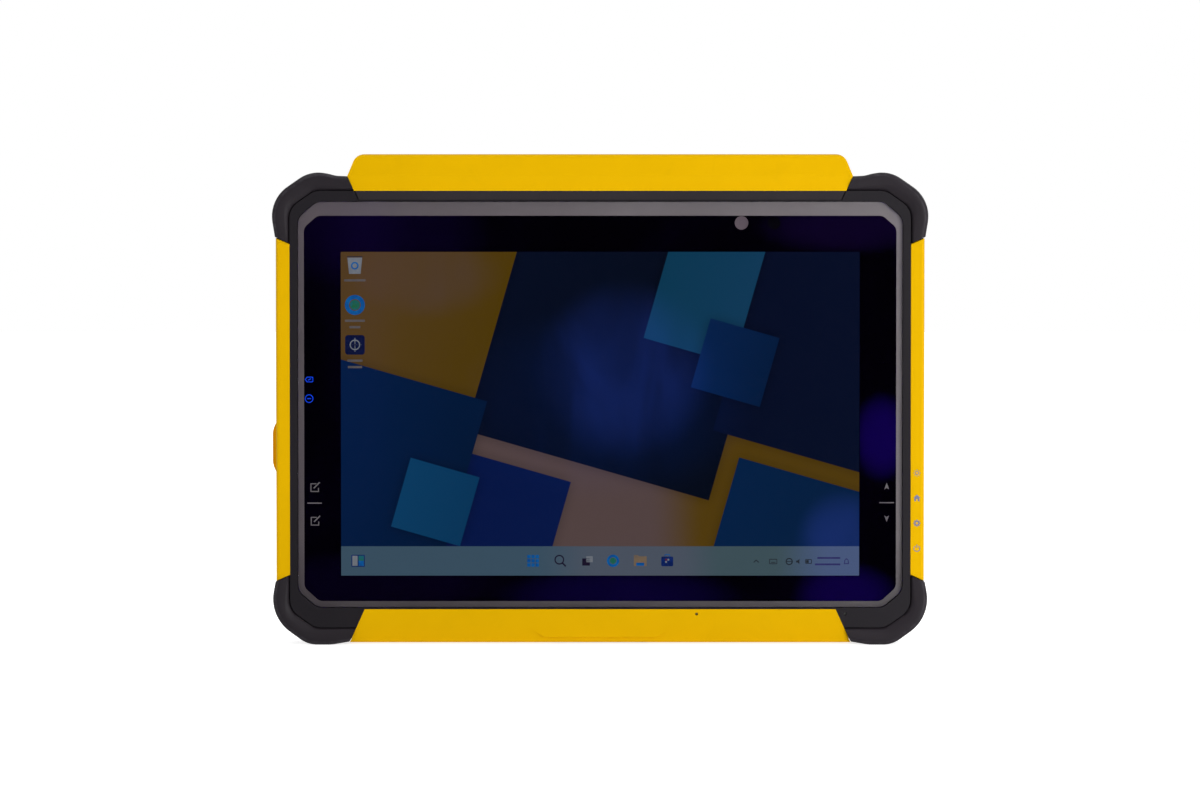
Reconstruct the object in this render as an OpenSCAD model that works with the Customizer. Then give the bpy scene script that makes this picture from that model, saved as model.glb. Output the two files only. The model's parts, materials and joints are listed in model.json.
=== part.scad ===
// Rugged field tablet (data collector), standing on its lower edge with the screen towards -Y.
// Origin: middle of the lower edge at mid depth. X runs to the viewer's right, Y backwards, Z up.

/* [Case] */
// Width of the front frame and rear housing
case_w = 259.6; // [256:0.2:264]
// Height of the case's lower edge above the ground
case_z0 = 7.4; // [7:0.1:8]
// Height of the case's upper edge
case_z1 = 190.1; // [188:0.1:192]
// Sideways leg of the case's corner chamfer
case_cut_x = 10.5; // [9:0.5:12]
// Upright leg of the case's corner chamfer
case_cut_z = 7.4; // [6:0.2:9]
// Rounding of the case's chamfer corners
case_round = 8; // [4:0.5:9]
// Distance of the bezel's face from mid depth
face_y = 13.2; // [13:0.1:13.6]
// Distance of the housing's back from mid depth
back_y = 12.6; // [12.4:0.1:12.8]
// Thickness of the housing's side walls
wall = 2.2; // [1.8:0.1:2.4]

/* [Display] */
// Width of the cover glass
glass_w = 253; // [250:0.5:254]
// Height of the cover glass
glass_h = 169.9; // [168:0.1:171]
// Height of the glass's lower edge above the ground
glass_z0 = 15.7; // [15.5:0.1:16.5]
// Thickness of the cover glass
glass_t = 1.1; // [0.7:0.1:1.2]
// Depth of the glass below the bezel's face
glass_recess = 0.8; // [0.4:0.1:1]
// Width of the picture, a 10.1 inch 16:10 panel
active_w = 217; // [216:0.2:218]
// Height of the picture
active_h = 135.6; // [135:0.1:137]
// Height of the picture's centre
active_z = 96.8; // [96:0.1:98]

/* [Corner bumpers] */
// Reach of a bumper's corner point sideways
bumper_x = 139; // [138:0.1:140]
// Depth of the bumpers, the deepest pieces
bumper_d = 28; // [27.6:0.1:29]

/* [Trims] */
// Outer face of the side trims from the middle
trim_x = 135.6; // [135:0.1:136]
// Wall thickness of the trims
trim_t = 1.8; // [1.5:0.1:2]
// Top of the antenna bar
bar_top = 205.4; // [203:0.1:207]

/* [Batteries] */
// Width of a battery bay
bay_w = 66; // [60:0.5:66]
// Height of a battery bay
bay_h = 118; // [110:1:120]
// Sideways centre of a battery bay
bay_x = 79; // [78:0.5:80]
// Depth coordinate of the bay's floor
bay_floor = 2.6; // [2.4:0.1:3]
// Travel of a battery pack out of its bay
pack_travel = 16; // [12:1:20]

/* [Side keys] */
// Height of the lowest key's centre
key_z = 40.6; // [40:0.1:42]
// Distance between key centres
key_pitch = 10.5; // [10:0.1:11]

/* [Port door] */
// Height of the door's centre
door_z = 83.5; // [82:0.5:85]
// Length of the door along the side
door_h = 51; // [48:1:54]
// Radius of the hinge pin
pin_r = 0.8; // [0.7:0.05:0.85]

/* [Rear mount] */
// Hole spacing of the threaded mount, both ways
mount_pitch = 75; // [75:1:75]
// Height of the mount's centre
mount_z = 103; // [100:1:106]

/* [Hidden] */
$fn = 48;

// Colours
YELLOW = [0.90, 0.68, 0.02];
BLACK = [0.13, 0.13, 0.14];
RUBBER = [0.17, 0.16, 0.18];
METAL = [0.72, 0.73, 0.75];
GOLD = [0.85, 0.68, 0.30];
BOARD = [0.05, 0.30, 0.18];

// Depth levels, front to back
glass_front = -face_y + glass_recess;
glass_back = glass_front + glass_t;
print_back = glass_back + 0.15;
ledge_y = print_back + 0.25;
lcd_back = print_back + 1.5;
light_back = lcd_back + 3;
split_y = -8;
mid_front = -6.5;
mid_back = -5.3;
board_front = -4.1;
board_back = -2.9;
cavity_back = back_y - 1.8;
pad_y = back_y + 0.6;

// Outline of the glass
glass_z1 = glass_z0 + glass_h;
glass_cut = [8, 6.8];
fit = 0.15;

// Lower trim and upper bar
foot_z = 1;
trim_top = 15;
trim_low_half = 104.9;
trim_high_half = 98.6;
band_z0 = glass_z1 + 0.55;
bar_low_half = 102.8;
bar_mid_half = 105.6;
bar_high_half = 101.9;
bar_crease = 196.6;
flange_y = -face_y + trim_t;

// Side trims: heights where they meet the bumpers
side_in_z = [29.5, 167.8];
side_out_z = [26.9, 170.4];
case_x = case_w / 2;
trim_in = trim_x - trim_t;

// Display module behind the glass
lcd_w = 228;
lcd_h = 148;
window_gap = 0.5;

// Front sensors
sensor_z = 176.7;
webcam_x = 72.7;
light_x = 59.1;
status_x = -121.8;
status_z = [111.2, 103.2];
mic_places = [[40.4, 13], [102.6, 13]];

// Battery bay, pack and catch
bay_z0 = 32;
bay_z1 = bay_z0 + bay_h;
bay_wall = 1.4;
pack_gap = 0.3;
pack_y0 = bay_floor + 0.2;
pack_y1 = back_y - 0.2;
latch_travel = 4;
catch_slope = latch_travel / pack_travel;
catch_y = [4.8, 9.8];
catch_half = 5;
latch_pocket_y = 10;
latch_pad_z = [bay_z1 + 3.2, bay_z1 + 14.2];

// Port bay behind the door
sockets_y = -0.05;
port_floor = -case_x;
collar_y = [-7.4, 6.4];
collar_t = 1.3;
collar_x = -133.4;
collar_half = 25.5;
door_front = -7.6;
door_in = -134;
hinge = [-134.2, 8.2];
knuckle_r = 1.35;
door_gap = 0.2;
pull_z = door_z - 0.8;
pull_half = 11.3;
pull_flat = 7.4;
pull_reach = 1.7;
pull_round = 9;
usb_a_z = door_z + 13.5;
usb_c_z = door_z - 0.5;
headset_z = door_z - 9.5;
power_z = door_z - 18.5;
headset_r = 1.8;
socket_t = 5.7;
socket_gap = 0.05;
usb_a_w = 13.1;
usb_c_w = 9.6;
headset_w = 6.4;
power_w = 8;
power_r = 2.1;

// Keys
key_size = [7.5, 8];
key_y = -3;
key_hole_gap = 0.25;
key_lip = 0.6;

// Housing screws: [x, z]
screw_x = 121.5;
screw_places = concat(
    [for (s = [-1, 1], z = [30, 118, 165]) [s * screw_x, z]],
    [for (s = [-1, 1], z = [17.2, 178.5]) [s * 45, z]]);
boss_r = 3;
bar_screw_x = [-90, -30, 30, 90];
bar_screw_z = 196;

// Holes and fasteners
over = 1;
shank_r = 1.2;
pilot_r = 1.3;
clear_r = 1.4;
head_r = 2.3;
sunk_r = 2.5;
screw_head_h = 1.5;
thread_r = 2;
insert_r = 3;
insert_h = 6;
mount_boss_r = 4.6;
mount_places = [for (x = [-1, 1], z = [-1, 1]) [x * mount_pitch / 2, mount_z + z * mount_pitch / 2]];

// Small round parts at the front
webcam_r = 3.2;
webcam_view_r = 2.7;
light_r = 2.85;
status_r = 1.5;
mic_r = 1.6;
mic_hole_r = 0.6;

// Camera and flash at the back
camera_at = [-5.5, 170];
camera_r = 3.8;
flash_at = [6.5, 170];
flash_r = 2.4;

// Boards and frames inside
mid_half = 117.8;
mid_z = [22, 171.6];
board_left = -117.4;
board_right = 110;
board_z = [30, 158];
board_step = [-64, 56];

// ---------- outlines ----------

// Points of the arc that rounds corner p between its neighbours a and b
function corner(p, a, b, r, n = 6) =
    let (u = (a - p) / norm(a - p), v = (b - p) / norm(b - p),
        half = acos(u * v) / 2, c = p + (u + v) / norm(u + v) * r / sin(half),
        s = p + u * r / tan(half) - c, e = p + v * r / tan(half) - c,
        from = atan2(s[1], s[0]), turn = (atan2(e[1], e[0]) - from + 540) % 360 - 180)
    [for (i = [0 : n]) c + r * [cos(from + turn * i / n), sin(from + turn * i / n)]];

// A closed outline from corners [x, y, radius]
function rounded(q, n = 6) =
    [for (i = [0 : len(q) - 1])
        let (p = [q[i][0], q[i][1]], j = (i + len(q) - 1) % len(q), k = (i + 1) % len(q))
        each (q[i][2] == 0 ? [p] : corner(p, [q[j][0], q[j][1]], [q[k][0], q[k][1]], q[i][2], n))];

// A rectangle with chamfered, rounded corners, shrunk on every side by t
function plate(half_w, z0, z1, cut, r, t = 0) =
    let (k = 1 + t * (norm([1 / cut[0], 1 / cut[1]]) - 1 / cut[0] - 1 / cut[1]),
        w = half_w - t, a = z0 + t, b = z1 - t, c = cut[0] * k, d = cut[1] * k, e = max(r - t, 1))
    rounded([[c - w, a, e], [w - c, a, e], [w, a + d, e], [w, b - d, e],
        [w - c, b, e], [c - w, b, e], [-w, b - d, e], [-w, a + d, e]]);

function case_outline(t = 0) =
    plate(case_x, case_z0, case_z1, [case_cut_x, case_cut_z], case_round, t);
function glass_outline(t = 0) = plate(glass_w / 2, glass_z0, glass_z1, glass_cut, 6, t);
function box_outline(x0, x1, z0, z1, r) = rounded([[x0, z0, r], [x1, z0, r], [x1, z1, r], [x0, z1, r]]);

// ---------- extrusions ----------

// Extrudes an outline drawn in X and Z from depth y0 to y1
module slab(y0, y1) {
    translate([0, y1, 0]) rotate([90, 0, 0]) linear_extrude(y1 - y0) children();
}

// Extrudes a section drawn in Y and Z from x0 to x1
module run_x(x0, x1) {
    translate([x0, 0, 0]) rotate([90, 0, 90]) linear_extrude(x1 - x0) children();
}

// Extrudes a section drawn in X and Y from z0 to z1
module run_z(z0, z1) {
    translate([0, 0, z0]) linear_extrude(z1 - z0) children();
}

module block(from, to) {
    translate(from) cube(to - from);
}

// A round bar along Y at [x, z]
module rod_y(at, r, y0, y1) {
    translate([at[0], y1, at[1]]) rotate([90, 0, 0]) cylinder(r = r, h = y1 - y0);
}

// A round bar along X at [y, z]
module rod_x(at, r, x0, x1) {
    translate([x0, at[0], at[1]]) rotate([0, 90, 0]) cylinder(r = r, h = x1 - x0);
}

module mirrored_pair() {
    children();
    mirror([1, 0, 0]) children();
}

// ---------- front ----------

module bottom_trim_outline(grow = 0) {
    polygon([[-trim_low_half - grow, foot_z - grow], [trim_low_half + grow, foot_z - grow],
        [trim_high_half + grow, trim_top + grow], [-trim_high_half - grow, trim_top + grow]]);
}

module band_outline(grow = 0) {
    low_half = bar_low_half - (case_z1 - band_z0) * 0.46;
    polygon([[-low_half - grow, band_z0 - grow], [low_half + grow, band_z0 - grow],
        [bar_low_half + grow, case_z1 + grow], [-bar_low_half - grow, case_z1 + grow]]);
}

module lcd_outline(grow = 0) {
    polygon(box_outline(-lcd_w / 2 - grow, lcd_w / 2 + grow,
        active_z - lcd_h / 2 - grow, active_z + lcd_h / 2 + grow, 1));
}

module front_frame() {
    color(BLACK) difference() {
        slab(-face_y, split_y) polygon(case_outline());
        slab(-face_y - over, ledge_y) polygon(glass_outline(-fit));
        slab(-face_y, 0) lcd_outline(window_gap);
        slab(-face_y - over, flange_y + 0.05) bottom_trim_outline(0.05);
        slab(-face_y - over, -face_y + 1.25) band_outline(0.05);
        for (p = screw_places) rod_y(p, pilot_r, split_y - 2.4, split_y + over);
        for (p = mic_places) rod_y(p, mic_hole_r, -face_y - over, split_y - 1.6);
        for (p = mic_places) rod_y(p, mic_r + 0.2, split_y - 1.7, split_y + over);
        rod_y([webcam_x, sensor_z], webcam_r + 0.3, -face_y, 0);
        rod_y([light_x, sensor_z], light_r + 0.25, -face_y, 0);
        for (z = status_z) rod_y([status_x, z], status_r + 0.2, -face_y, 0);
    }
}

module top_band() {
    color(RUBBER) slab(-face_y, -face_y + 1.2) band_outline();
}

module cover_glass() {
    color([0.6, 0.7, 0.75, 0.35]) slab(glass_front, glass_back) polygon(glass_outline());
}

module glass_print() {
    color([0.02, 0.02, 0.05]) slab(glass_back, print_back) difference() {
        polygon(glass_outline(0.1));
        polygon(box_outline(-active_w / 2 - 0.2, active_w / 2 + 0.2,
            active_z - active_h / 2 - 0.2, active_z + active_h / 2 + 0.2, 0.3));
        translate([webcam_x, sensor_z]) circle(webcam_view_r);
        translate([light_x, sensor_z]) circle(light_r);
        for (z = status_z) translate([status_x, z]) circle(status_r);
    }
}

module display_seal() {
    color([0.1, 0.1, 0.1]) slab(print_back, ledge_y) difference() {
        polygon(glass_outline(0.2));
        polygon(glass_outline(2.2));
    }
}

module lcd_panel() {
    color([0.05, 0.09, 0.2]) slab(print_back, lcd_back) lcd_outline();
}

module backlight_unit() {
    color(METAL) slab(lcd_back, light_back) lcd_outline();
}

module webcam() {
    color([0.03, 0.03, 0.04]) {
        rod_y([webcam_x, sensor_z], webcam_r, print_back + 0.1, split_y);
        block([webcam_x - 4.5, split_y, sensor_z - 4.5], [webcam_x + 4.5, split_y + 2.6, sensor_z + 4.5]);
    }
}

module light_sensor() {
    color([0.75, 0.72, 0.74]) {
        rod_y([light_x, sensor_z], light_r, print_back, split_y);
        block([light_x - 3, split_y, sensor_z - 3], [light_x + 3, split_y + 1.2, sensor_z + 3]);
    }
}

module status_lights() {
    color([0.1, 0.3, 1]) for (z = status_z) rod_y([status_x, z], status_r, print_back, split_y + 0.8);
}

module microphones() {
    color(METAL) for (p = mic_places) rod_y(p, mic_r, split_y - 1.65, split_y + 0.6);
}

// ---------- inside ----------

module mid_frame() {
    color(METAL) slab(mid_front, mid_back) difference() {
        polygon(box_outline(-mid_half, mid_half, mid_z[0], mid_z[1], 4));
        for (s = [-1, 1], z = [50, 120])
            polygon(box_outline(s * 75 - 22, s * 75 + 22, z, z + 30, 5));
    }
}

module main_board() {
    color(BOARD) slab(board_front, board_back) polygon(rounded([
        [board_left, board_step[1], 2], [board_step[0], board_step[1], 2], [board_step[0], board_z[0], 3],
        [board_right, board_z[0], 3], [board_right, board_z[1], 3], [board_left, board_z[1], 3]]));
}

module chip(x, z, w, h, t) {
    block([x - w / 2, board_back, z - h / 2], [x + w / 2, board_back + t, z + h / 2]);
}

module processor() {
    color([0.2, 0.2, 0.22]) chip(0, 100, 38, 26, 1.3);
}

module memory_chips() {
    color(BLACK) for (x = [-32, 32], z = [90, 108]) chip(x, z, 10, 13, 1);
}

module ssd_module() {
    color([0.06, 0.2, 0.3]) chip(62, 90, 22, 80, 2.2);
}

module wireless_module() {
    color([0.5, 0.5, 0.52]) chip(92, 70, 22, 30, 2.2);
}

module heat_spreader() {
    color([0.75, 0.5, 0.35]) slab(board_back + 1.35, board_back + 2.9)
        polygon(rounded([[-42, 70, 3], [42, 70, 3], [42, 146, 3],
            [20, 154, 5], [-20, 154, 5], [-42, 146, 3]]));
}

// ---------- side sockets ----------

// A socket's body with its mouth in the housing's side wall; w along Z, d deep
module socket_body(z, w, d) {
    half = socket_t / 2;
    block([port_floor, sockets_y - half, z - w / 2], [port_floor + d, sockets_y + half, z + w / 2]);
}

module usb_a_socket() {
    color(METAL) {
        difference() {
            socket_body(usb_a_z, usb_a_w, 13.5);
            block([port_floor - 1, sockets_y - 2.45, usb_a_z - 6.1],
                [port_floor + 11, sockets_y + 2.45, usb_a_z + 6.1]);
        }
        block([port_floor + 0.8, sockets_y + 0.3, usb_a_z - 5.6],
            [port_floor + 11, sockets_y + 2.1, usb_a_z + 5.6]);
    }
}

module usb_c_socket() {
    color(METAL) {
        difference() {
            socket_body(usb_c_z, usb_c_w, 10);
            run_x(port_floor - 1, port_floor + 8) translate([sockets_y, usb_c_z])
                polygon(rounded([[-1.4, -4.3, 1.35], [1.4, -4.3, 1.35],
                    [1.4, 4.3, 1.35], [-1.4, 4.3, 1.35]]));
        }
        block([port_floor + 0.7, sockets_y - 0.35, usb_c_z - 3.3],
            [port_floor + 8, sockets_y + 0.35, usb_c_z + 3.3]);
    }
}

module headset_socket() {
    color(BLACK) difference() {
        socket_body(headset_z, headset_w, 14);
        rod_x([sockets_y, headset_z], headset_r, port_floor - 1, port_floor + 13);
    }
}

module power_socket() {
    color(BLACK) {
        difference() {
            socket_body(power_z, power_w, 12);
            rod_x([sockets_y, power_z], power_r, port_floor - 1, port_floor + 10);
        }
        rod_x([sockets_y, power_z], 0.85, port_floor + 1, port_floor + 10);
    }
}

// ---------- rear housing ----------

module bay_block(grow, y0, y1) {
    slab(y0, y1) polygon(box_outline(bay_x - bay_w / 2 - grow, bay_x + bay_w / 2 + grow,
        bay_z0 - grow, bay_z1 + grow, 3 + grow));
}

module latch_pocket_outline(grow = 0) {
    polygon(box_outline(bay_x - 13 - grow, bay_x + 13 + grow,
        bay_z1 + 2.6 - grow, bay_z1 + 18.6 + grow, 2));
}

module camera_outline(grow = 0) {
    polygon(box_outline(-13 - grow, 13 + grow, camera_at[1] - 6 - grow, camera_at[1] + 6 + grow, 4));
}

// Solid parts that stand inside the housing's cavity
module housing_inside() {
    mirrored_pair() {
        bay_block(bay_wall, bay_floor - bay_wall, back_y);
        slab(latch_pocket_y - 1.8, cavity_back + 0.1) latch_pocket_outline(1.8);
        block([bay_x - catch_half - 1.8, catch_y[0] - 1.8, bay_z1],
            [bay_x + catch_half + 1.8, latch_pocket_y, latch_pad_z[1] - 1.4]);
    }
    for (p = screw_places) rod_y(p, boss_r, split_y, cavity_back + 0.1);
    for (p = mount_places) rod_y(p, mount_boss_r, pad_y - insert_h - 3, cavity_back + 0.1);
}

// Holes in the side wall for the sockets
module socket_cuts() {
    half = socket_t / 2 + socket_gap;
    for (s = [[usb_a_z, usb_a_w], [usb_c_z, usb_c_w], [headset_z, headset_w], [power_z, power_w]])
        block([port_floor - 1, sockets_y - half, s[0] - s[1] / 2 - socket_gap],
            [port_floor + 5, sockets_y + half, s[0] + s[1] / 2 + socket_gap]);
}

module speaker_slots() {
    for (s = [-1, 1], i = [-2 : 2])
        slab(cavity_back - 1, back_y + over)
            polygon(box_outline(s * 85 - 9, s * 85 + 9, 21.4 + i * 2.2, 22.6 + i * 2.2, 0.5));
}

module latch_cuts() {
    slab(latch_pocket_y, back_y + over) latch_pocket_outline();
    block([bay_x - catch_half - 0.2, catch_y[0] - 0.2, bay_z1 - 0.1],
        [bay_x + catch_half + 0.2, latch_pocket_y + 0.5, latch_pad_z[1] - 3]);
}

module rear_housing() {
    color(BLACK) difference() {
        union() {
            difference() {
                slab(split_y, back_y) polygon(case_outline());
                difference() {
                    slab(split_y - 1, cavity_back) polygon(case_outline(wall));
                    housing_inside();
                }
            }
            slab(back_y - 0.1, pad_y) polygon(box_outline(-44, 44, mount_z - 44, mount_z + 44, 6));
        }
        mirrored_pair() {
            bay_block(0, bay_floor, back_y + over);
            latch_cuts();
        }
        slab(split_y - 1, split_y + 1) difference() {
            polygon(case_outline(0.6));
            polygon(case_outline(1.6));
        }
        slab(back_y - 1.05, back_y + over) bottom_trim_rear_outline(0.05);
        socket_cuts();
        speaker_slots();
        slab(cavity_back + 1, back_y + over) camera_outline(0.1);
        rod_y(camera_at, camera_r + 0.2, 0, back_y);
        rod_y(flash_at, flash_r + 0.2, 0, back_y);
        for (p = screw_places) rod_y(p, clear_r, split_y - over, back_y);
        for (p = screw_places) rod_y(p, sunk_r, cavity_back, back_y + over);
        for (p = mount_places) rod_y(p, insert_r, pad_y - insert_h - 1, pad_y + over);
    }
}

// The collar round the sockets, which the door's seal presses on
module port_surround() {
    color(BLACK) difference() {
        block([collar_x, collar_y[0], door_z - collar_half], [port_floor, collar_y[1], door_z + collar_half]);
        block([collar_x - 1, collar_y[0] + collar_t, door_z - collar_half + collar_t],
            [port_floor + 1, collar_y[1] - collar_t, door_z + collar_half - collar_t]);
    }
}

module housing_seal() {
    color([0.3, 0.3, 0.32]) slab(split_y, split_y + 1) difference() {
        polygon(case_outline(0.6));
        polygon(case_outline(1.6));
    }
}

module mount_inserts() {
    color(GOLD) for (p = mount_places) difference() {
        rod_y(p, insert_r, pad_y - insert_h, pad_y);
        rod_y(p, thread_r, pad_y - insert_h - over, pad_y + over);
    }
}

// A socket-head screw along Y, its head at the back
module screw(at, head_y, tip_y) {
    difference() {
        union() {
            rod_y(at, shank_r, tip_y, head_y + 1);
            rod_y(at, head_r, head_y, head_y + screw_head_h);
        }
        translate([at[0], head_y + screw_head_h + 0.1, at[1]]) rotate([90, 0, 0])
            cylinder(r = 1.1, h = 1, $fn = 6);
    }
}

module housing_screws() {
    color(METAL) for (p = screw_places) screw(p, cavity_back, split_y - 2.2);
}

module speakers() {
    color(BLACK) for (s = [-1, 1]) block([s * 85 - 10, 2.5, 15.5], [s * 85 + 10, cavity_back - 0.2, 28.5]);
}

module rear_camera() {
    color([0.05, 0.05, 0.06]) {
        block([camera_at[0] - 5, 5.5, camera_at[1] - 5], [camera_at[0] + 5, 10.6, camera_at[1] + 5]);
        rod_y(camera_at, camera_r, 10.5, 11.7);
    }
}

module camera_window() {
    color([0.1, 0.12, 0.15, 0.4]) slab(cavity_back + 1.05, back_y - 0.1) camera_outline();
}

module flash_light() {
    color([1, 0.95, 0.8]) rod_y(flash_at, flash_r, 9.8, 11.6);
}

module battery_sockets() {
    color(BLACK) for (s = [-1, 1])
        block([s * bay_x - 11, bay_floor, 37], [s * bay_x + 11, bay_floor + 1.4, 42]);
}

// ---------- batteries and their catches ----------

module battery(s) {
    scoop = 11;
    color([0.15, 0.15, 0.16]) mirror([s < 0 ? 1 : 0, 0, 0]) difference() {
        slab(pack_y0, pack_y1) polygon(box_outline(bay_x - bay_w / 2 + pack_gap,
            bay_x + bay_w / 2 - pack_gap, bay_z0 + pack_gap, bay_z1 - pack_gap, 3));
        run_x(bay_x - catch_half - 0.6, bay_x + catch_half + 0.6) polygon([
            [catch_y[0] + 0.2, bay_z1 - 0.1],
            [catch_y[1] + 0.3, bay_z1 - 0.1 - (catch_y[1] - catch_y[0] + 0.1) * catch_slope],
            [catch_y[1] + 0.3, bay_z1 + 1], [catch_y[0] + 0.2, bay_z1 + 1]]);
        block([bay_x - 12, pack_y0 - 1, 36], [bay_x + 12, pack_y0 + 1.5, 43]);
        slab(pack_y1 - 0.4, pack_y1 + 1) polygon(box_outline(bay_x - 26, bay_x + 26, 62, 130, 3));
        translate([bay_x, pack_y1 + 8.2, bay_z0 + 6]) rotate([0, 90, 0])
            cylinder(r = scoop, h = 26, center = true);
    }
}

module latch(s) {
    foot = bay_z1 + 0.1;
    color(YELLOW) mirror([s < 0 ? 1 : 0, 0, 0]) {
        difference() {
            block([bay_x - 12, latch_pocket_y + 0.2, latch_pad_z[0]],
                [bay_x + 12, back_y - 0.2, latch_pad_z[1]]);
            for (i = [-2 : 2])
                block([bay_x - 10, back_y - 0.9, latch_pad_z[0] + 5.2 + i * 1.9],
                    [bay_x + 10, back_y + 1, latch_pad_z[0] + 6 + i * 1.9]);
        }
        run_x(bay_x - catch_half, bay_x + catch_half) polygon([
            [catch_y[0], foot], [catch_y[1], foot - (catch_y[1] - catch_y[0]) * catch_slope],
            [catch_y[1], latch_pad_z[0]], [latch_pocket_y + 0.2, latch_pad_z[0]],
            [latch_pocket_y + 0.2, latch_pad_z[0] + 3.5], [catch_y[0], latch_pad_z[0] + 3.5]]);
    }
}

// ---------- trims ----------

// Front outline of a side trim, drawn for the right side
module side_trim_outline() {
    polygon([[case_x, side_in_z[0]], [trim_x, side_out_z[0]],
        [trim_x, side_out_z[1]], [case_x, side_in_z[1]]]);
}

module side_trim_section() {
    difference() {
        polygon(rounded([[case_x, -face_y, 0], [trim_x, -face_y, 1.3], [trim_x, back_y, 1.6],
            [case_x, back_y, 0]]));
        translate([case_x - 1, flange_y]) square([trim_in - case_x + 1, back_y - 1.8 - flange_y]);
    }
}

module side_trim() {
    intersection() {
        run_z(0, case_z1) side_trim_section();
        slab(-face_y - over, back_y + over) side_trim_outline();
    }
}

module right_trim() {
    color(YELLOW) difference() {
        side_trim();
        for (i = [0 : 3])
            block([trim_in - 1, key_y - key_size[0] / 2 - key_hole_gap,
                    key_z + i * key_pitch - key_size[1] / 2 - key_hole_gap],
                [trim_x + 1, key_y + key_size[0] / 2 + key_hole_gap,
                    key_z + i * key_pitch + key_size[1] / 2 + key_hole_gap]);
    }
}

module left_trim() {
    door_half = door_h / 2 + door_gap;
    color(YELLOW) difference() {
        union() {
            mirror([1, 0, 0]) side_trim();
            for (s = [-1, 1]) translate([0, 0, door_z + s * (door_half + 2)])
                block([-trim_x + 0.3, hinge[1] - 2, -2], [hinge[0] + 2, hinge[1] + 2.4, 2]);
        }
        block([-trim_x - 1, door_front - door_gap, door_z - door_half],
            [-trim_in + 0.1, hinge[1] + 2, door_z + door_half]);
        translate([hinge[0], hinge[1], door_z - door_half - 3]) cylinder(r = pin_r, h = door_h + 7);
    }
}

module bottom_trim_rear_outline(grow = 0) {
    polygon([[-trim_low_half - grow, foot_z], [trim_low_half + grow, foot_z],
        [trim_low_half - 4 + grow, 12 + grow], [-trim_low_half + 4 - grow, 12 + grow]]);
}

module bottom_trim() {
    color(YELLOW) difference() {
        union() {
            intersection() {
                run_x(-trim_low_half, trim_low_half) difference() {
                    polygon(rounded([[-face_y, trim_top, 0], [-face_y, 7.1, 0], [1.6 - face_y, foot_z, 1],
                        [back_y - 1.4, foot_z, 1.2], [back_y, 6, 0], [back_y, trim_top, 0]]));
                    translate([flange_y, foot_z + trim_t])
                        square([back_y - 1 - flange_y, case_z0 - foot_z - trim_t + 0.01]);
                    translate([flange_y, case_z0]) square([back_y - 1 - flange_y, 20]);
                    translate([0, 12]) square([20, 20]);
                }
                slab(-face_y - over, back_y + over) bottom_trim_outline();
            }
            slab(-face_y, flange_y - 0.1)
                polygon([[-23.3, 3.4], [23.3, 3.4], [29.8, 7.1], [-29.8, 7.1]]);
        }
        block([-19.6, -4.2, 0], [19.6, 4.2, 5]);
        rod_y(mic_places[0], mic_hole_r, -face_y - over, 0);
    }
}

module top_bar() {
    color(YELLOW) difference() {
        intersection() {
            run_x(-bar_mid_half, bar_mid_half)
                polygon(rounded([[-face_y, case_z1, 0], [-face_y, bar_crease, 3],
                    [1.2 - face_y, bar_top, 1.6], [face_y - 1.8, bar_top, 2.4],
                    [face_y, bar_crease, 4], [face_y, case_z1, 0]]));
            slab(-face_y - over, face_y + 1) polygon(rounded([
                [-bar_low_half, case_z1, 0], [bar_low_half, case_z1, 0], [bar_mid_half, bar_crease - 0.3, 0],
                [bar_high_half, bar_top, 5], [-bar_high_half, bar_top, 5],
                [-bar_mid_half, bar_crease - 0.3, 0]]));
        }
        run_x(2.5 - bar_high_half, bar_high_half - 2.5)
            polygon(rounded([[2 - face_y, case_z1 - 1, 0], [2 - face_y, bar_crease, 2],
                [3.2 - face_y, bar_top - 2, 1], [face_y - 3.8, bar_top - 2, 1],
                [face_y - 2, bar_crease, 2], [face_y - 2, case_z1 - 1, 0]]));
        for (x = bar_screw_x) {
            rod_y([x, bar_screw_z], clear_r, 0, face_y + over);
            rod_y([x, bar_screw_z], sunk_r, face_y - 1, face_y + over);
        }
    }
}

// Carries the antennas and takes the bar's screws
module antenna_tray() {
    color([0.2, 0.2, 0.22]) difference() {
        union() {
            block([-98, -10.5, case_z1], [98, 10.5, case_z1 + 1.6]);
            for (x = bar_screw_x) block([x - 4, 4, case_z1], [x + 4, 10, bar_screw_z + 3]);
        }
        for (x = bar_screw_x) rod_y([x, bar_screw_z], pilot_r, 3, 11);
    }
}

module gnss_antenna() {
    color([0.8, 0.75, 0.65]) block([-12.5, -9.5, case_z1 + 1.6], [12.5, 4.5, case_z1 + 6]);
}

module radio_antennas() {
    color(BOARD) for (s = [-1, 1]) block([s * 60 - 20, -8, case_z1 + 1.6], [s * 60 + 20, -6.8, case_z1 + 11]);
}

module top_bar_screws() {
    color(METAL) for (x = bar_screw_x) screw([x, bar_screw_z], face_y - 1, 6);
}

// ---------- corner bumpers ----------

// Outer edge of the upper right bumper, from the bar's end round to the side trim
bumper_top_edge = [[bar_mid_half, bar_crease - 0.5, 0], [111, bar_crease - 0.2, 20],
    [120.3, bar_top - 6.4, 14], [bumper_x - 0.3, 186.4, 15], [136.1, side_out_z[1] + 1.1, 0]];
// Outer edge of the lower right bumper, from the lower trim round to the side trim
bumper_low_edge = [[trim_low_half + 0.1, 1.3, 0], [112.3, 0, 20], [122.5, 0, 12],
    [bumper_x, 11.8, 17], [136.0, side_out_z[0] - 1.1, 0]];

// An open line with its inner corners rounded
function open_round(q, n = 7) =
    [for (i = [0 : len(q) - 1])
        each (q[i][2] == 0 ? [[q[i][0], q[i][1]]]
            : corner([q[i][0], q[i][1]], [q[i - 1][0], q[i - 1][1]],
                [q[i + 1][0], q[i + 1][1]], q[i][2], n))];

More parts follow.
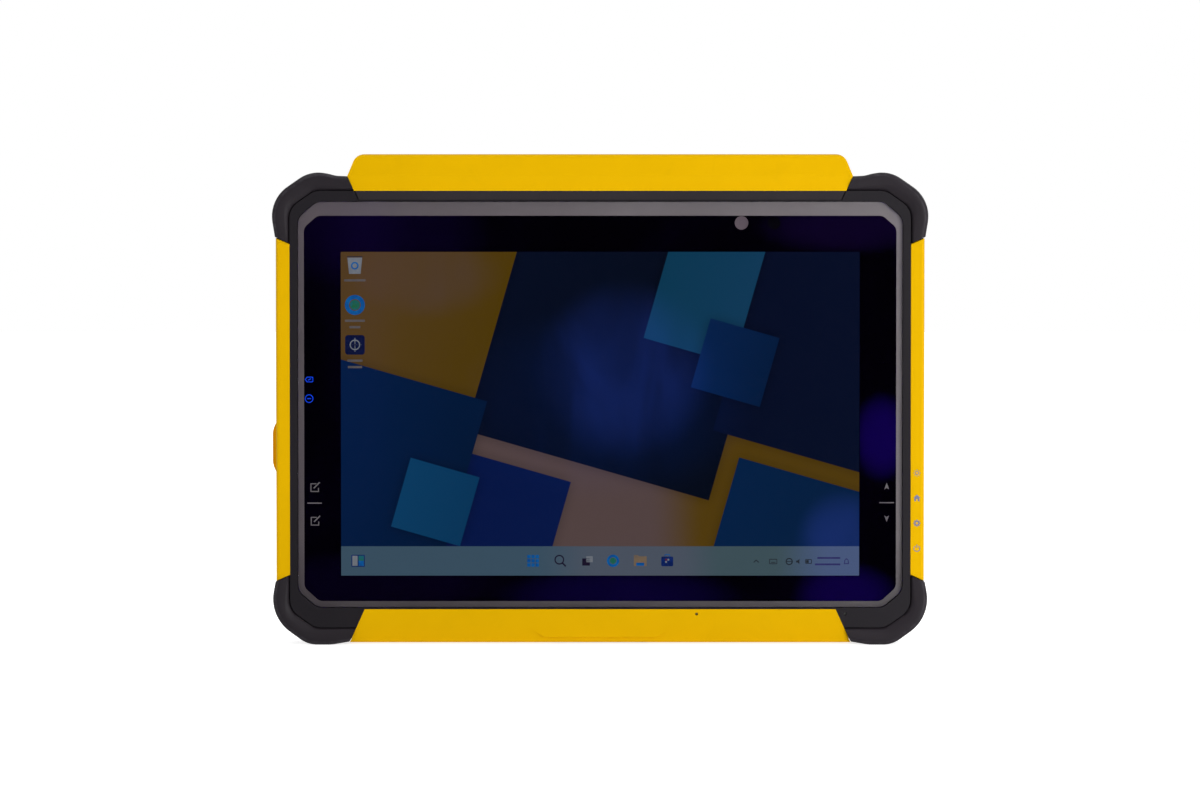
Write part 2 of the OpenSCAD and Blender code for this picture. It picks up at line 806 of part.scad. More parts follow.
// The case's edge that the bumper follows, from the side trim round to the bar or lower trim
function case_corner(side, end_x) =
    let (z = side > 0 ? case_z1 : case_z0, cut = case_cut_z * side)
    open_round([[case_x, side > 0 ? side_in_z[1] : side_in_z[0], 0], [case_x, z - cut, case_round],
        [case_x - case_cut_x, z, case_round], [end_x, z, 0]]);

// Fills the space between an outer edge and the case's corner
module bumper(edge, side, end_x) {
    color(RUBBER) slab(-bumper_d / 2, bumper_d / 2)
        polygon(concat(open_round(edge), case_corner(side, end_x)));
}

module bumper_top() {
    bumper(bumper_top_edge, 1, bar_low_half);
}

module bumper_bottom() {
    bumper(bumper_low_edge, -1, trim_low_half - 2.85);
}

// ---------- lower edge ----------

module dock_connector() {
    color(BLACK) difference() {
        block([-19.4, -4, 1.6], [19.4, 4, case_z0]);
        block([-17.5, -2.6, 1], [17.5, 2.6, 2.4]);
    }
}

module dock_contacts() {
    color(GOLD) for (i = [-5.5 : 1 : 5.5], y = [-1.3, 1.3])
        block([i * 2.8 - 0.7, y - 0.8, 2], [i * 2.8 + 0.7, y + 0.8, 2.4]);
}

// ---------- side keys ----------

module key(i) {
    z = key_z + i * key_pitch;
    y0 = key_y - key_size[0] / 2;
    y1 = key_y + key_size[0] / 2;
    color(YELLOW) {
        run_x(trim_in - 0.9, trim_x - 0.1) translate([key_y, z]) polygon(rounded([
            for (c = [[-1, -1], [1, -1], [1, 1], [-1, 1]])
                [c[0] * key_size[0] / 2, c[1] * key_size[1] / 2, 1]]));
        block([trim_in - 0.9, y0 - key_lip, z - key_size[1] / 2 - key_lip],
            [trim_in - 0.1, y1 + key_lip, z + key_size[1] / 2 + key_lip]);
        rod_x([key_y, z], 1.3, trim_in - 1.9, trim_in - 0.8);
    }
}

module key_switch_board() {
    color(BOARD) {
        block([case_x, key_y - 4, key_z - 6], [case_x + 0.4, key_y + 4, key_z + 3 * key_pitch + 6]);
        for (i = [0 : 3]) rod_x([key_y, key_z + i * key_pitch], 1.8, case_x + 0.39, trim_in - 2.5);
    }
}

// ---------- port door ----------

module port_door() {
    color(YELLOW) difference() {
        union() {
            block([-trim_x, door_front, door_z - door_h / 2], [door_in, hinge[1], door_z + door_h / 2]);
            translate([hinge[0], hinge[1], door_z - door_h / 2]) cylinder(r = knuckle_r, h = door_h);
            slab(door_front + 0.6, door_front + 5.6) polygon(rounded([
                [-trim_x + 0.2, pull_z - pull_half, 0],
                [-trim_x + 0.2, pull_z + pull_half, 0],
                [-trim_x - pull_reach, pull_z + pull_flat, pull_round],
                [-trim_x - pull_reach, pull_z - pull_flat, pull_round]]));
        }
        translate([hinge[0], hinge[1], door_z - door_h]) cylinder(r = pin_r + 0.05, h = 2 * door_h);
    }
}

module door_seal() {
    color(RUBBER) difference() {
        block([door_in, collar_y[0] + 0.2, door_z - collar_half + 0.3],
            [collar_x - 0.05, collar_y[1] - 0.2, door_z + collar_half - 0.3]);
        block([door_in - 1, collar_y[0] + collar_t, door_z - collar_half + collar_t],
            [collar_x + 1, collar_y[1] - collar_t, door_z + collar_half - collar_t]);
    }
}

module door_pin() {
    reach = door_h / 2 + door_gap + 2.8;
    color(METAL) translate([hinge[0], hinge[1], door_z - reach]) cylinder(r = pin_r, h = 2 * reach);
}

front_frame();
top_band();
cover_glass();
glass_print();
display_seal();
lcd_panel();
backlight_unit();
mid_frame();
main_board();
processor();
memory_chips();
ssd_module();
wireless_module();
heat_spreader();
usb_a_socket();
usb_c_socket();
headset_socket();
power_socket();
port_surround();
key_switch_board();
housing_seal();
rear_housing();
left_trim();
right_trim();
bottom_trim();
top_bar();
antenna_tray();
gnss_antenna();
radio_antennas();
mirror([1, 0, 0]) bumper_top();  // bumper_top_left
bumper_top();  // bumper_top_right
mirror([1, 0, 0]) bumper_bottom();  // bumper_bottom_left
bumper_bottom();  // bumper_bottom_right
webcam();
light_sensor();
status_lights();
microphones();
speakers();
dock_connector();
dock_contacts();
rear_camera();
camera_window();
flash_light();
battery_sockets();
mount_inserts();
housing_screws();
top_bar_screws();
door_pin();
port_door();
door_seal();
key(0);  // key_power
key(1);  // key_settings
key(2);  // key_home
key(3);  // key_brightness
battery(-1);  // battery_left
battery(1);  // battery_right
latch(-1);  // latch_left
latch(1);  // latch_right
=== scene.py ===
"""Looks of the data collector: a rugged 10.1 inch field tablet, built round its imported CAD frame."""

import json
import math

import bmesh
import bpy
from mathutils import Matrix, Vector
from mathutils.geometry import tessellate_polygon


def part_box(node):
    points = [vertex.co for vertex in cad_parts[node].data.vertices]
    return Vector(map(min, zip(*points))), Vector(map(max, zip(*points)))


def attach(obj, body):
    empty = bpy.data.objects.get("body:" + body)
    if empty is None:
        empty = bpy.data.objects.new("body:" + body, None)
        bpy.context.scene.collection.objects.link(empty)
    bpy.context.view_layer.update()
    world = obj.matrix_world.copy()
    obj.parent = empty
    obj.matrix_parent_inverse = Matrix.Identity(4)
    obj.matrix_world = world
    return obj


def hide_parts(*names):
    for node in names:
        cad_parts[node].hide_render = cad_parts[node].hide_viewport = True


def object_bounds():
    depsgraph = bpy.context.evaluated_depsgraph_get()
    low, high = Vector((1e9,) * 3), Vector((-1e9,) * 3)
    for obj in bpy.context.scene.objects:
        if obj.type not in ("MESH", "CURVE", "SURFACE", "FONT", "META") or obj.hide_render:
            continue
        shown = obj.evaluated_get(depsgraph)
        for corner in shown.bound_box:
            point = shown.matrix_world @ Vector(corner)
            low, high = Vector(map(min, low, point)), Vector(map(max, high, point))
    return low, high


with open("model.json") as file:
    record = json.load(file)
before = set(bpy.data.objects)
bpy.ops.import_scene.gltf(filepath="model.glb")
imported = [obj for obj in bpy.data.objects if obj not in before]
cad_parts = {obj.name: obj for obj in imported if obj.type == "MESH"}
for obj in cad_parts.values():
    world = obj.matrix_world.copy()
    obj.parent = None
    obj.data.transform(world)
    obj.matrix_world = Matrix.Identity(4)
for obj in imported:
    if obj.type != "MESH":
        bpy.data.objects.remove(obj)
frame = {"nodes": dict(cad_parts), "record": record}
cad_low, cad_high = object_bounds()

MM = 0.001
BODY_OF = {node: body for body, nodes in frame["record"]["behaviour"]["bodies"].items() for node in nodes}
SLOT_OF = {p["node"]: p["material_slot"] for p in frame["record"]["subparts"]}


def box_mm(node):
    """Lowest and highest corner of a CAD node, in millimetres."""
    low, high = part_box(node)
    return low / MM, high / MM


def middle_mm(node):
    """The middle of a CAD node's box, in millimetres."""
    low, high = box_mm(node)
    return (low + high) / 2


def linear(r, g, b):
    """Linear colour of an sRGB colour given in 0 to 255."""
    return tuple(((c / 255 + 0.055) / 1.055) ** 2.4 if c > 10 else c / 255 / 12.92 for c in (r, g, b))


def scaled(colour, k, lift=0.0):
    """A colour made darker or lighter."""
    return tuple(c * k + lift for c in colour)


# ---------- places taken from the frame ----------

CASE_LOW, CASE_HIGH = box_mm("front_frame")
BAND_LOW, BAND_HIGH = box_mm("top_band")
GLASS_LOW, GLASS_HIGH = box_mm("cover_glass")
GLASS_BACK = GLASS_HIGH.y
PRINT_BACK = box_mm("glass_print")[1].y
TRIM_FRONT = box_mm("right_trim")[0].y
BUMPER_HIGH = box_mm("bumper_top_right")[1]
LIGHT_SENSOR = middle_mm("light_sensor")
WEBCAM = middle_mm("webcam")
STATUS_X = middle_mm("status_lights").x
SCREEN_Z = middle_mm("lcd_panel").z
# The lit picture of a 10.1 inch 16:10 panel
SCREEN_W, SCREEN_H = 217.0, 135.6
SCREEN_HALF_W, SCREEN_HALF_H = SCREEN_W / 2, SCREEN_H / 2


# ---------- node graphs ----------

class Nodes:
    """Short ways to add nodes to a tree."""

    def __init__(self, tree):
        self.tree = tree
        self.place = None

    def add(self, kind, **settings):
        node = self.tree.nodes.new(kind)
        for key, value in settings.items():
            setattr(node, key, value)
        return node

    def feed(self, socket, value):
        if isinstance(value, bpy.types.NodeSocket):
            self.tree.links.new(value, socket)
        elif isinstance(value, tuple) and len(value) == 3 and socket.type == "RGBA":
            socket.default_value = (*value, 1)
        else:
            socket.default_value = value

    def mm(self):
        """Object coordinates in millimetres."""
        if self.place is None:
            coord = self.add("ShaderNodeTexCoord")
            scale = self.add("ShaderNodeVectorMath", operation="SCALE")
            self.feed(scale.inputs[0], coord.outputs["Object"])
            scale.inputs["Scale"].default_value = 1 / MM
            self.place = scale.outputs[0]
        return self.place

    def stretched(self, scale):
        """Object coordinates in millimetres, scaled along each axis."""
        node = self.add("ShaderNodeVectorMath", operation="MULTIPLY")
        self.feed(node.inputs[0], self.mm())
        node.inputs[1].default_value = scale
        return node.outputs[0]

    def axis(self, name, vector=None):
        node = self.add("ShaderNodeSeparateXYZ")
        self.feed(node.inputs[0], vector or self.mm())
        return node.outputs[name]

    def noise(self, scale, detail=3.0, rough=0.55, warp=0.0, vector=None):
        node = self.add("ShaderNodeTexNoise")
        self.feed(node.inputs["Vector"], vector or self.mm())
        node.inputs["Scale"].default_value = scale
        node.inputs["Detail"].default_value = detail
        node.inputs["Roughness"].default_value = rough
        node.inputs["Distortion"].default_value = warp
        return node.outputs["Fac"]

    def math(self, operation, a, b=0.0, clamp=False):
        node = self.add("ShaderNodeMath", operation=operation, use_clamp=clamp)
        self.feed(node.inputs[0], a)
        self.feed(node.inputs[1], b)
        return node.outputs[0]

    def spread(self, value, low, high, to_low=0.0, to_high=1.0, smooth=False):
        """Maps low..high to to_low..to_high, held at both ends."""
        node = self.add("ShaderNodeMapRange", interpolation_type="SMOOTHSTEP" if smooth else "LINEAR")
        for socket, given in zip(node.inputs[:5], (value, low, high, to_low, to_high)):
            self.feed(socket, given)
        return node.outputs[0]

    def mix(self, factor, a, b, blend="MIX"):
        """Mixes two colours; a colour may be a tuple or a socket."""
        node = self.add("ShaderNodeMix", data_type="RGBA", blend_type=blend)
        self.feed(node.inputs[0], factor)
        self.feed(node.inputs[6], a)
        self.feed(node.inputs[7], b)
        return node.outputs[2]

    def patch(self, x, z, half_x, half_z):
        """A soft oval mask, one at its middle (x, z) and nought outside."""
        away = [self.math("POWER", self.math("DIVIDE", self.math("SUBTRACT", self.axis(name), at), half), 2.0)
                for name, at, half in (("X", x, half_x), ("Z", z, half_z))]
        return self.spread(self.math("ADD", *away), 0.05, 1.0, 1, 0, True)

    def attribute(self, name):
        node = self.add("ShaderNodeAttribute", attribute_name=name)
        return node.outputs["Fac"]

    def bump(self, height, depth_mm, strength):
        node = self.add("ShaderNodeBump")
        node.inputs["Distance"].default_value = depth_mm * MM
        node.inputs["Strength"].default_value = strength
        self.feed(node.inputs["Height"], height)
        return node.outputs[0]


class Graph(Nodes):
    """A material with a Principled shader."""

    def __init__(self, name):
        self.material = bpy.data.materials.new(name)
        self.material.use_nodes = True
        super().__init__(self.material.node_tree)
        self.shader = self.tree.nodes["Principled BSDF"]

    def set(self, **values):
        """Sets the shader's sockets; a name's spaces are written as underscores."""
        for key, value in values.items():
            self.feed(self.shader.inputs[key.replace("_", " ")], value)


# ---------- materials ----------

BLACK = (0, 0, 0)
# Painted shade on the grey rim: it is darkest at its foot, and this far above it no longer
FOOT_REACH, FOOT_SHADE = 30, 0.42


def moulded(name, colour, rough, grain, depth, mottle=0.1, worn=None, wear=0.0, specular=0.4, smudge=0.1,
            shine=(1, 1, 1)):
    """Moulded plastic or rubber: fine grain, soft tonal drift, handling marks and worn edges; on the corner
    guards the lighter edges are also a painted highlight.
    """
    g = Graph(name)
    shade = scaled(colour, 1 - mottle)
    light = tuple(min(c, 1) for c in scaled(colour, 1 + mottle))
    drift = g.noise(0.012, 4, 0.6, 0.4)
    fine = g.noise(grain, 2, 0.6)
    tone = g.mix(g.spread(drift, 0.35, 0.65), shade, light)
    tone = g.mix(g.spread(fine, 0.3, 0.7, 0.0, 0.25), tone, shade)
    marks = g.spread(g.noise(0.05, 6, 0.7, 1.5), 0.56, 0.72, 0.0, smudge)
    tone = g.mix(marks, tone, scaled(colour, 0.82))
    edge = g.math("MULTIPLY", g.attribute("wear"), g.spread(g.noise(0.35, 4, 0.7), 0.42, 0.7, 0.15, 1))
    tone = g.mix(g.math("MULTIPLY", edge, wear), tone, worn or light)
    roughness = g.spread(drift, 0.3, 0.7, rough - 0.05, rough + 0.05)
    roughness = g.math("ADD", roughness, g.math("MULTIPLY", edge, -0.08))
    roughness = g.math("ADD", roughness, g.math("MULTIPLY", marks, 0.25))
    g.set(Base_Color=tone, Roughness=roughness, Specular_IOR_Level=specular, Specular_Tint=shine)
    g.set(Normal=g.bump(fine, depth, 0.6))
    return g.material


def metal(name, colour, rough, streak, depth, tarnish=None):
    """Bare or plated metal: machining or casting texture, slight tarnish."""
    g = Graph(name)
    grain = g.noise(1.6, 4, 0.6, vector=g.stretched(streak))
    patches = g.noise(0.09, 5, 0.65, 0.6)
    tone = g.mix(g.spread(patches, 0.4, 0.7, 0, 0.6), colour, tarnish or scaled(colour, 0.72))
    tone = g.mix(g.spread(grain, 0.3, 0.7, 0, 0.3), tone, scaled(colour, 0.85))
    g.set(Base_Color=tone, Metallic=1.0, Roughness=g.spread(grain, 0.25, 0.75, rough - 0.06, rough + 0.1))
    g.set(Normal=g.bump(grain, depth, 0.5))
    return g.material


def circuit(name, mask_colour):
    """Solder mask over copper tracks, with rows of pale pads."""
    g = Graph(name)
    lines = g.add("ShaderNodeTexWave", wave_type="BANDS", bands_direction="DIAGONAL")
    g.feed(lines.inputs["Vector"], g.mm())
    lines.inputs["Scale"].default_value = 0.35
    lines.inputs["Distortion"].default_value = 6
    tracks = g.spread(lines.outputs["Fac"], 0.6, 0.7, smooth=True)
    dots = g.add("ShaderNodeTexVoronoi", feature="F1", distance="CHEBYCHEV")
    g.feed(dots.inputs["Vector"], g.mm())
    dots.inputs["Scale"].default_value = 0.4
    pads = g.spread(dots.outputs["Distance"], 0.16, 0.2, 1, 0)
    tone = g.mix(tracks, mask_colour, scaled(mask_colour, 1.9, 0.01))
    tone = g.mix(g.math("MULTIPLY", pads, 0.7), tone, (0.5, 0.5, 0.48))
    g.set(Base_Color=tone, Roughness=g.spread(pads, 0, 1, 0.4, 0.28))
    g.set(Normal=g.bump(g.math("ADD", tracks, pads), 0.03, 0.5))
    return g.material


def ink(name, colour, other, rough=0.35, specular=0.0, scale=(0.03, 0.03, 0.012), painted_light_sweep=0.0, painted_reflections=()):
    """Printed ink with a faint drift; a painted light sweep makes its right lighter and paints shade on its
    foot, and painted reflections add soft patches.
    """
    g = Graph(name)
    drift_and_painted_light = g.spread(g.noise(1.0, 3, 0.5, 0.8, vector=g.stretched(scale)), 0.42, 0.7, smooth=True)
    # Painted light: lighter towards the right
    if painted_light_sweep:
        drift_and_painted_light = g.math("ADD", g.math("MULTIPLY", drift_and_painted_light, 0.3), g.spread(g.axis("X"), -painted_light_sweep, painted_light_sweep, 0, 0.8))
    dots = g.noise(6.0, 1, 0.5)
    tone = g.mix(drift_and_painted_light, colour, other)
    # Painted shade: darker towards the foot
    if painted_light_sweep:
        tone = g.mix(g.spread(g.axis("Z"), GLASS_LOW.z, GLASS_LOW.z + FOOT_REACH, FOOT_SHADE, 0), tone, BLACK)
    # Painted reflections: soft patches added to the ink's colour
    for x, z, half_x, half_z, reflection_colour in painted_reflections:
        tone = g.mix(g.patch(x, z, half_x, half_z), tone, reflection_colour, "ADD")
    tone = g.mix(g.spread(dots, 0.35, 0.65, 0, 0.12), tone, scaled(colour, 0.7))
    g.set(Base_Color=tone, Roughness=g.spread(dots, 0.3, 0.7, rough - 0.04, rough + 0.06))
    g.set(Specular_IOR_Level=specular)
    g.set(Normal=g.bump(dots, 0.004, 0.3))
    return g.material


def lit(name, colour, other, strength=1.0):
    """A part of the picture or a lit symbol: it glows by itself, a little unevenly."""
    g = Graph(name)
    glow = g.mix(g.spread(g.noise(0.4, 3, 0.6), 0.35, 0.65), colour, other)
    glow = g.mix(g.spread(g.noise(5.0, 1, 0.5), 0.35, 0.65, 0, 0.15), glow, BLACK)
    g.set(Base_Color=(0.004, 0.004, 0.006), Roughness=0.5, Specular_IOR_Level=0.0)
    g.set(Emission_Color=glow, Emission_Strength=strength)
    return g.material


# What the glass mirrors at a slant, nearly neutral so that it isn't violet from the side
SLANTED_MIRROR = (0.16, 0.155, 0.20)


def coated_glass(name, tint, mirror, rough=0.015):
    """Clear coated glass: a tinted mirror that covers more, and is greyer, at a glancing angle."""
    g = Graph(name)
    facing = g.add("ShaderNodeLayerWeight")
    facing.inputs["Blend"].default_value = 0.5
    smear = g.noise(0.03, 5, 0.7, 1.2)
    straight = g.spread(smear, 0.3, 0.7, mirror * 0.85, mirror * 1.15)
    share = g.math("ADD", straight, g.math("POWER", facing.outputs["Facing"], 5.0), clamp=True)
    tone = g.mix(g.spread(smear, 0.35, 0.65), tint, scaled(tint, 0.8, 0.02))
    tone = g.mix(g.spread(facing.outputs["Facing"], 0.01, 0.16, smooth=True), tone, SLANTED_MIRROR)
    roughness = g.spread(smear, 0.4, 0.8, rough, rough + 0.03)
    g.set(Base_Color=tone, Metallic=1.0, Roughness=roughness, Alpha=share, Normal=g.bump(smear, 0.01, 0.05))
    return g.material


def lens(name, colour, rough, coat):
    """A coated lens over something dark or coloured."""
    g = Graph(name)
    ring = g.noise(0.8, 2, 0.5, 0.3)
    tone = g.mix(g.spread(ring, 0.35, 0.65), colour, scaled(colour, 0.6, 0.002))
    g.set(Base_Color=tone, Roughness=g.spread(ring, 0.3, 0.7, rough, rough + 0.06), Coat_Weight=coat)
    g.set(Normal=g.bump(ring, 0.003, 0.2))
    return g.material


YELLOW = (0.775, 0.440, 0.0)
YELLOW_SHINE = (1.0, 0.78, 0.12)
WORN_YELLOW = (0.88, 0.58, 0.04)
CASE = (0.0125, 0.0102, 0.0138)
WORN_CASE = (0.060, 0.056, 0.062)
BAND = (0.0225, 0.0180, 0.0215)
RUBBER = (0.0192, 0.0150, 0.0198)
# Lighter rubber on the guards' outer edges: wear and a painted edge highlight
WORN_RUBBER_AND_HIGHLIGHT = (0.055, 0.050, 0.060)
PACK = (0.028, 0.027, 0.030)
WORN_PACK = (0.07, 0.068, 0.072)
# Painted reflections: soft violet patches added to the black print's colour, standing in for what the coated
# glass over it mirrors: middle x and z, half width and height, added colour
GLASS_PAINTED_REFLECTIONS = [
    (-92, 172, 50, 26, linear(5, 1, 24)),
    (102, 175, 40, 13, linear(11, 3, 33)),
    (118, 87, 14, 20, linear(14, 1, 72)),
    (103, 20, 24, 16, linear(12, 1, 62)),
    (8, 20, 56, 14, linear(8, 2, 46)),
    (-90, 26, 60, 16, linear(4, 1, 20)),
]
# Painted light from the right: the grey rim brightens across this far to each side of the middle
RIM_PAINTED_LIGHT_SWEEP = 120.0

MAT = {
    "trim_yellow": moulded("yellow_plastic", YELLOW, 0.46, 2.2, 0.008, mottle=0.035, worn=WORN_YELLOW,
                           wear=0.12, specular=0.22, smudge=0.16, shine=YELLOW_SHINE),
    "case_plastic": moulded("case_plastic", CASE, 0.48, 2.6, 0.02, worn=WORN_CASE, wear=0.7, specular=0.2,
                            smudge=0.2),
    "band_plastic": moulded("band_plastic", BAND, 0.62, 1.1, 0.12, mottle=0.16, wear=0.3, specular=0.2),
    "bumper_rubber": moulded("bumper_rubber", RUBBER, 0.56, 2.0, 0.02, worn=WORN_RUBBER_AND_HIGHLIGHT, wear=0.6,
                             specular=0.2, smudge=0.25),
    "seal_rubber": moulded("seal_rubber", (0.012, 0.012, 0.013), 0.7, 1.5, 0.02, specular=0.3, smudge=0.2),
    "pack_plastic": moulded("pack_plastic", PACK, 0.52, 1.8, 0.04, worn=WORN_PACK, wear=0.6, smudge=0.3),
    "connector_plastic": moulded("connector_plastic", (0.012, 0.012, 0.013), 0.4, 2.4, 0.01, wear=0.2,
                                 specular=0.5),
    "chip_plastic": moulded("chip_plastic", (0.014, 0.014, 0.016), 0.5, 3.0, 0.01, mottle=0.15),
    "light_guide": moulded("light_guide", (0.78, 0.79, 0.80), 0.4, 1.2, 0.01, mottle=0.03, specular=0.5),
    "antenna_ceramic": moulded("antenna_ceramic", (0.55, 0.50, 0.38), 0.6, 2.0, 0.02, mottle=0.08,
                               smudge=0.2),
    "magnesium": metal("magnesium", (0.55, 0.55, 0.56), 0.48, (1, 1, 1), 0.02),
    "shield_can": metal("shield_can", (0.62, 0.62, 0.60), 0.32, (0.2, 1, 3), 0.006),
    "copper": metal("copper", (0.80, 0.40, 0.24), 0.34, (3, 1, 0.1), 0.004, (0.42, 0.18, 0.10)),
    "steel": metal("steel", (0.60, 0.60, 0.61), 0.28, (0.6, 2, 0.6), 0.005),
    "gold_contact": metal("gold_contact", (0.92, 0.66, 0.26), 0.22, (1, 1, 1), 0.003),
    "circuit_board": circuit("circuit_board", (0.006, 0.075, 0.030)),
    "glass_ink": ink("black_ink", linear(2, 1, 5), linear(3, 1, 12), scale=(0.016, 0.016, 0.008),
                     painted_reflections=GLASS_PAINTED_REFLECTIONS),
    "lcd": ink("lcd_edge", (0.001, 0.001, 0.004), (0.002, 0.002, 0.008)),
    "cover_glass": coated_glass("cover_glass", (0.13, 0.035, 0.88), 0.036),
    "window_glass": coated_glass("window_glass", (0.5, 0.55, 0.7), 0.06, 0.03),
    "sensor_lens": ink("sensor_grey", linear(102, 91, 99), linear(88, 78, 86), 0.3),
    "camera_black": lens("camera_black", (0.003, 0.0025, 0.006), 0.1, 0.3),
    "light_lens": lens("light_lens", (0.02, 0.08, 0.6), 0.2, 0.3),
    "flash_lens": lens("flash_lens", (0.80, 0.74, 0.45), 0.2, 0.6),
}
DOOR_YELLOW = moulded("yellow_rubber", (0.88, 0.41, 0.0), 0.5, 2.0, 0.02, mottle=0.05, worn=WORN_YELLOW,
                      wear=0.3, specular=0.2, smudge=0.25, shine=YELLOW_SHINE)
WEBCAM_BLACK = ink("webcam_black", (0.0010, 0.0009, 0.0024), (0.0018, 0.0016, 0.004), 0.3, 0.02)
# The grey rim's ink, with painted light on its right and painted shade at its foot
RIM_INK = ink("rim_ink", linear(99, 92, 97), linear(132, 127, 130), 0.4, scale=(0.010, 0.01, 0.004),
              painted_light_sweep=RIM_PAINTED_LIGHT_SWEEP)
SYMBOL_GREY = ink("symbol_grey", linear(118, 114, 118), linear(100, 96, 104))
TRIM_SYMBOL = ink("trim_symbol", linear(126, 128, 150), linear(150, 140, 110), 0.5, 0.2)
SYMBOL_DARK = ink("symbol_dark", (0.045, 0.044, 0.048), (0.06, 0.058, 0.064), 0.5, 0.2)
LABEL = ink("pack_label", (0.27, 0.27, 0.28), (0.22, 0.22, 0.235), 0.45, 0.3)
BLUE_LIGHT = lit("blue_light", linear(0, 60, 205), linear(16, 52, 185), 1.8)
PICTURE_COLOURS = {
    "white": ((118, 122, 128), (104, 110, 120)),
    "label": ((92, 86, 84), (80, 76, 77)),
    "blue": ((8, 92, 158), (6, 70, 138)),
    "deep": ((8, 36, 100), (6, 26, 78)),
    "night": ((3, 16, 58), (3, 12, 46)),
    "teal": ((22, 92, 104), (28, 96, 62)),
    "tan": ((104, 90, 78), (114, 96, 76)),
    "dark": ((18, 12, 38), (24, 16, 38)),
    "grey": ((30, 36, 44), (36, 40, 46)),
    "violet": ((52, 52, 104), (44, 44, 96)),
    "red": ((96, 34, 48), (84, 30, 44)),
}
PICTURE_INK = {key: lit("picture_" + key, linear(*first), linear(*second))
               for key, (first, second) in PICTURE_COLOURS.items()}

# ---------- the picture on the screen ----------

TILT = math.radians(16)
# Beyond the picture on every side
FAR = 400.0
# The lowest tile, pinkish on its left and golden on its right, and where it changes
PEACH, GOLD, PEACH_TO_GOLD = (84, 68, 66), (82, 60, 6), (20, 44)
# Tiles of the wallpaper, bottom to top, in axes turned by TILT: left, right, bottom, top, two colours
TILES = [
    (-52.2, 53.7, -22.3, FAR, (2, 10, 30), (1, 7, 20)),
    (47.3, FAR, 6.4, FAR, (2, 10, 34), (3, 12, 36)),
    (-FAR, -3.9, -FAR, -30.8, (2, 18, 66), (4, 22, 70)),
    (-FAR, -52.2, -8.0, FAR, (82, 60, 26), (78, 57, 0)),
    (-FAR, -46.9, -FAR, -8.0, (1, 28, 68), (0, 22, 52)),
    (61.0, FAR, -FAR, -1.5, (2, 32, 68), (2, 30, 62)),
    (8.7, 47.7, 35.6, FAR, (8, 56, 82), (14, 58, 88)),
    (33.4, 63.4, 21.2, 51.2, (3, 32, 74), (1, 26, 60)),
    (-71.2, -41.2, -69.5, -39.5, (8, 60, 98), (6, 54, 90)),
]
# Painted reflections over the picture: soft patches of sheen added to its glow: x and z from its middle, half
# width and height, what they add
PICTURE_PAINTED_REFLECTIONS = [
    (10, 18, 40, 40, (0.0045, 0.0100, 0.070)),
    (2, 4, 66, 44, (0.0, 0.0025, 0.020)),
    (-72, 58, 34, 20, (0.001, 0.003, 0.018)),
    (102, -54, 22, 24, (0.007, 0.012, 0.090)),
]
PICTURE_REACH = 112.0
SHADOW_REACH = 5.0
SHADOW_DEPTH = 0.45
TILE_EDGE = 0.12
TASKBAR_TOP = -55.5
TASKBAR_EDGE = 0.1
# The task bar's colour at its left end, and each later colour with the stretch over which it comes in
TASKBAR_LEFT = (58, 80, 96)
TASKBAR_TONES = [(-28, 0, (75, 83, 96)), (32, 52, (62, 81, 88)), (72, 98, (74, 90, 126))]


def wallpaper():
    """The lit picture: tilted overlapping tiles with soft shadows, hazy painted reflections and a pale bar
    below.
    """
    g = Graph("wallpaper")
    x = g.axis("X")
    z = g.math("SUBTRACT", g.axis("Z"), SCREEN_Z)
    u = g.math("SUBTRACT", g.math("MULTIPLY", x, math.cos(TILT)), g.math("MULTIPLY", z, math.sin(TILT)))
    v = g.math("ADD", g.math("MULTIPLY", x, math.sin(TILT)), g.math("MULTIPLY", z, math.cos(TILT)))

    def inside(left, right, low, high, soft):
        mask = 1.0
        for value, a, b in ((u, left - soft, left + soft), (u, right + soft, right - soft),
                            (v, low - soft, low + soft), (v, high + soft, high - soft)):
            if abs(a) < FAR / 2:
                mask = g.math("MULTIPLY", g.spread(value, a, b, smooth=True), mask)
        return mask

    tone = g.mix(g.spread(x, *PEACH_TO_GOLD, smooth=True), linear(*PEACH), linear(*GOLD))
    for left, right, low, high, first, second in TILES:
        shadow = inside(left, right, low, high, SHADOW_REACH)
        tone = g.mix(g.math("MULTIPLY", shadow, SHADOW_DEPTH), tone, BLACK)
        drift = g.spread(u, max(left, -PICTURE_REACH), min(right, PICTURE_REACH))
        tile = g.mix(drift, linear(*first), linear(*second))
        tone = g.mix(inside(left, right, low, high, TILE_EDGE), tone, tile)
    # Painted reflections: streaked patches of sheen added to the picture's glow
    reflection_streaks = g.noise(1.0, 3, 0.45, 0.9, vector=g.stretched((0.032, 1, 0.012)))
    reflection_streaks = g.spread(reflection_streaks, 0.3, 0.7, 0.45, 1, True)
    for at_x, at_z, half_x, half_z, reflection_colour in PICTURE_PAINTED_REFLECTIONS:
        reflection_mask = g.math("MULTIPLY", reflection_streaks, g.patch(at_x, SCREEN_Z + at_z, half_x, half_z))
        tone = g.mix(reflection_mask, tone, reflection_colour, "ADD")
    bar = linear(*TASKBAR_LEFT)
    for start, stop, colour in TASKBAR_TONES:
        bar = g.mix(g.spread(x, start, stop, smooth=True), bar, linear(*colour))
    tone = g.mix(g.spread(z, TASKBAR_TOP + TASKBAR_EDGE, TASKBAR_TOP - TASKBAR_EDGE), tone, bar)
    rows = g.add("ShaderNodeTexWave", wave_type="BANDS", bands_direction="Z")
    g.feed(rows.inputs["Vector"], g.mm())
    rows.inputs["Scale"].default_value = 0.5
    tone = g.mix(g.spread(rows.outputs["Fac"], 0, 1, 0, 0.06), tone, BLACK)
    g.set(Base_Color=(0.002, 0.002, 0.004), Roughness=0.45, Specular_IOR_Level=0.0)
    g.set(Emission_Color=tone, Emission_Strength=1.0)
    return g.material


# ---------- flat outlines, as lists of (across, up) in millimetres ----------

